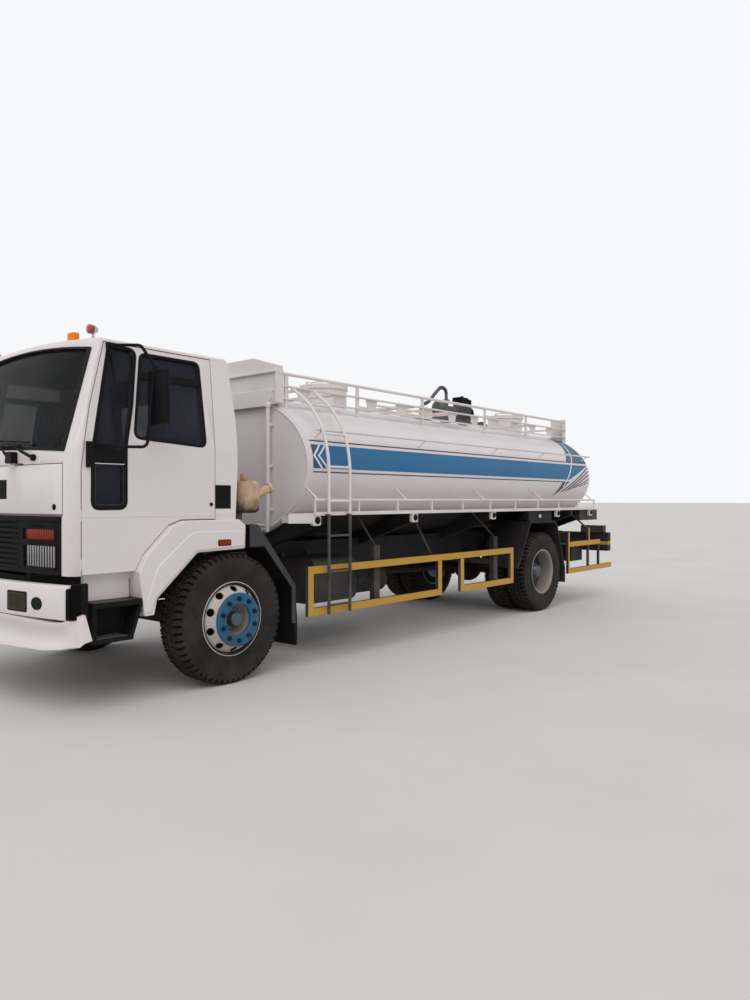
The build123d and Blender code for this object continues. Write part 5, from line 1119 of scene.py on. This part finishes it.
# Side guards: ochre faces, black backs, posts and stays
GUARD_IN = 1.18
ACROSS = (GUARD_IN, 1.22)
LOW_BAR, HIGH_BAR = (0.443, 0.513), (0.821, 0.891)
guards = Shape()
for stations, z in (
    ((0.832, 0.902), (LOW_BAR[0], HIGH_BAR[1])), ((4.4, 4.47), (LOW_BAR[0], HIGH_BAR[1])),
    ((0.903, 4.399), HIGH_BAR), ((0.903, 2.834), LOW_BAR), ((3.346, 4.399), LOW_BAR),
    ((2.835, 2.835 + 0.07), (LOW_BAR[0], HIGH_BAR[0] - 0.001)),
    ((3.275, 3.275 + 0.07), (LOW_BAR[0], HIGH_BAR[0] - 0.001)),
    ((6.02, 6.06), (LOW_BAR[0], 1.026)), ((6.061, 7.1), HIGH_BAR), ((6.061, 7.52), LOW_BAR),
    ((6.69, 6.73), (HIGH_BAR[1] + 0.001, 1.078)),
):
    guards.box(ACROSS, stations, z)
for station in (6.69, 7.06):
    guards.box((GUARD_IN, 1.21), (station, station + 0.04), (LOW_BAR[1], HIGH_BAR[0]))
guards.box((1.1, 1.19), (6.45, 7.05), (1.19, 1.345))
for station in (1.79, 4.06):
    guards.box((1.12, GUARD_IN), (station, station + 0.09), (0.46, 1.04))
    guards.box((0.44, 1.12), (station + 0.02, station + 0.07), (0.7, 0.76))
for stay in (((1.06, 1.66, 1.34), (1.15, 1.83, 1.04)), ((1.06, 2.56, 1.34), (1.19, 2.74, 0.891)),
             ((1.06, 3.76, 1.34), (1.15, 4.1, 1.04)), ((1.06, 6.3, 1.34), (1.19, 6.72, 1.06))):
    guards.bar(stay, 0.013, sides=8)
guards.box((0.44, 1.19), (6.72, 6.75), (0.85, 0.89))
make("side_guards_dressed", both(guards), "chassis", "guard_yellow", bevel=0.003, replaces="side_guards")

# Headboard lip and walkway tread bars
lip = Shape()
lip.box((-0.77, 0.77), (0.845, 0.962), (2.683, 2.702))
for x in ((0.745, 0.765), (-0.765, -0.745)):
    lip.box(x, (0.86, 0.96), (2.4, 2.69))
make("headboard_lip", lip, "chassis", "rail_paint", bevel=0.003)
LID_STATIONS = (2.3, 6.35)
planks = Shape()
for k in range(14):
    middle = 1.25 + k * 0.42
    if min(abs(middle - lid) for lid in LID_STATIONS) >= 0.36 and not 4.05 < middle < 5.6:
        planks.box((-0.73, 0.73), (middle - 0.012, middle + 0.012), (2.546, 2.572))
for x in (-0.45, -0.2, 0.2, 0.45):
    planks.box((x - 0.012, x + 0.012), (2.68, 4.02), (2.556, 2.578))
make("walkway_bars", planks, "chassis", "rail_paint", bevel=0.002)

# Manhole lids: rims, handles and clamps
for number, station, end in ((1, LID_STATIONS[0], "front"), (2, LID_STATIONS[1], "rear")):
    lid = Shape()
    lid.turned([(0.0, 0.0), (0.012, 0.1), (0.004, 0.2), (-0.002, 0.235), (0.004, 0.262), (-0.03, 0.2745),
                (-0.04, 0.2745), (-0.04, 0.0)], (0, station, 2.776), 48, "z")
    handle = ((-0.09, 2.782), (-0.09, 2.82), (0.09, 2.82), (0.09, 2.782))
    lid.bar(smooth_path([(x, station - 0.12, z) for x, z in handle], 0.03), 0.008)
    for k in range(6):
        angle = TURN * (k + 0.5) / 6
        x, y = 0.268 * math.cos(angle), station + 0.268 * math.sin(angle)
        lid.bar([(x, y, 2.74), (x, y, 2.795)], 0.011, sides=6)
        lid.bar([(x, y, 2.795), (x, y, 2.802)], 0.02, sides=6)
    make(f"manhole_lid_dressing_{number}", lid, f"manhole_lid_{end}", "rail_paint")

# Pump and engine on top: fins, air filter, fuel tank, exhaust and pipe collars
PUMP_Z = 2.75
motor = Shape()
for x in (-0.2, 0.2):
    motor.box((x - 0.02, x + 0.02), (4.32, 5.48), (2.535, 2.58))
for station in (4.5, 4.95, 5.4):
    motor.box((-0.22, 0.22), (station - 0.03, station + 0.03), (2.58, 2.61))
motor.box((-0.07, 0.07), (5.04, 5.27), (2.61, 2.86))
for k in range(9):
    station = 5.05 + k * 0.026
    motor.box((-0.085, 0.085), (station - 0.005, station + 0.005), (2.63, 2.85))
motor.mark = 1
motor.prism(rounded(rect(-0.08, 0.08, 2.855, 2.945), 0.025), "y", (5.02, 5.2))
motor.prism(rounded(rect(-0.07, 0.07, 2.84, 2.93), 0.025), "y", (5.205, 5.29))
motor.bar([(0.03, 5.1, 2.94), (0.03, 5.1, 2.962)], 0.024, sides=14)
motor.turned([(0.0, 0.0), (0.0, 0.09), (0.03, 0.1), (0.04, 0.08), (0.04, 0.0)], (0, 5.28, 2.73), 28, "y")
exhaust = [(-0.07, 5.2, 2.7), (-0.15, 5.2, 2.72), (-0.15, 5.2, 2.88), (-0.15, 5.3, 2.9)]
motor.bar(smooth_path(exhaust, 0.04), 0.018)
motor.mark = 0
motor.turned([(0.0, 0.0), (0.0, 0.07), (0.03, 0.105), (0.08, 0.11), (0.11, 0.1), (0.11, 0.055), (0.5, 0.05),
              (0.5, 0.0)], (0, 4.52, PUMP_Z), 32, "y")
motor.box((-0.09, 0.09), (4.54, 4.72), (2.6, 2.72))
motor.box((-0.06, 0.06), (4.06, 4.3), (2.535, 2.58))
for station, z in ((4.75, 2.87), (4.16, 2.66)):
    motor.turned([(-0.012, 0.0), (-0.012, 0.05), (0.012, 0.05), (0.012, 0.0)], (0, station, z), 20, "z")
motor.bar([(0, 4.66, PUMP_Z), (0, 4.75, 2.8), (0, 4.75, 2.88)], 0.034, sides=12)
hose = ((4.755, 2.88), (4.75, 3.02), (4.63, 3.05), (4.47, 2.93), (4.33, 2.8), (4.17, 2.76), (4.16, 2.58))
hose_path = smooth_path([(0, station, z) for station, z in hose], 0.09, 8)
motor.bar(hose_path, 0.022, sides=12)
for a, b in zip(hose_path[::2], hose_path[1::2]):
    motor.bar([a, a + (b - a).normalized() * 0.006], 0.0265, sides=12)
make("pump_dressed", motor, "chassis", "pump_grey black_plastic", bevel=0.003, replaces="pump_unit")

# Yellow band round the rear bumper
BAND_Z = (0.782, 0.836)
rear_band = Shape()
rear_band.box((-1.149, 1.149), (7.658, 7.6615), BAND_Z)
for side, x in ((-1, -1.1515), (1, 1.15)):
    rear_band.box((x, x + 0.0015), (7.55, 7.66), BAND_Z)
    rear_band.box((side * 0.88, side * 1.149), (7.5475, 7.55), BAND_Z)
make("rear_yellow_band", rear_band, "chassis", "yellow_band")

# Stage: pale floor, soft light and the camera
FLOOR_HALF = 400
floor_paint = Graph("floor_paint")
clouds = floor_paint.span(floor_paint.noise(0.7, 4), 0.3, 0.7)
floor_paint.paint(floor_paint.mix(clouds, (0.6, 0.57, 0.54, 1), (0.64, 0.61, 0.58, 1)), 0.95)
floor_mesh = bpy.data.meshes.new("floor")
floor_mesh.from_pydata([(x, y, 0) for x, y in rect(-FLOOR_HALF, FLOOR_HALF, -FLOOR_HALF, FLOOR_HALF)], [],
                       [(0, 1, 2, 3)])
floor_mesh.materials.append(floor_paint.material)
floor = bpy.data.objects.new("floor", floor_mesh)
bpy.context.scene.collection.objects.link(floor)
floor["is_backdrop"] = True

world = bpy.data.worlds.new("sky")
bpy.context.scene.world = world
world.use_nodes = True
tree = world.node_tree
light = tree.nodes["Background"]
shown = tree.nodes.new("ShaderNodeBackground")
for node, color, strength in ((light, (0.93, 0.96, 1.0, 1), 0.72), (shown, (0.93, 0.94, 0.96, 1), 1.0)):
    node.inputs["Color"].default_value = color
    node.inputs["Strength"].default_value = strength
paths = tree.nodes.new("ShaderNodeLightPath")
seen = tree.nodes.new("ShaderNodeMath")
seen.operation = "MAXIMUM"
mixed = tree.nodes.new("ShaderNodeMixShader")
for output, socket in (
    (paths.outputs["Is Camera Ray"], seen.inputs[0]), (paths.outputs["Is Transmission Ray"], seen.inputs[1]),
    (seen.outputs[0], mixed.inputs[0]), (light.outputs[0], mixed.inputs[1]),
    (shown.outputs[0], mixed.inputs[2]),
    (mixed.outputs[0], tree.nodes["World Output"].inputs[0]),
):
    tree.links.new(output, socket)

for name, energy, angle, turn in (("key", 1.1, 50, (38, 12, 30)), ("fill", 0.35, 80, (62, 0, -70))):
    sun = bpy.data.lights.new(name, "SUN")
    sun.energy, sun.angle = energy, math.radians(angle)
    obj = bpy.data.objects.new(name, sun)
    obj.rotation_euler = [math.radians(a) for a in turn]
    bpy.context.scene.collection.objects.link(obj)

camera_data = bpy.data.cameras.new("camera")
camera_data.lens = 27.27
camera_data.sensor_width = 36
camera_data.clip_end = 900
camera = bpy.data.objects.new("camera", camera_data)
camera.location = (6.0077, -7.0379, 1.4869)
camera.rotation_euler = (math.radians(90), 0, math.radians(39.964))
bpy.context.scene.collection.objects.link(camera)
bpy.context.scene.camera = camera
bpy.context.scene.view_settings.view_transform = "Standard"

low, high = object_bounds()
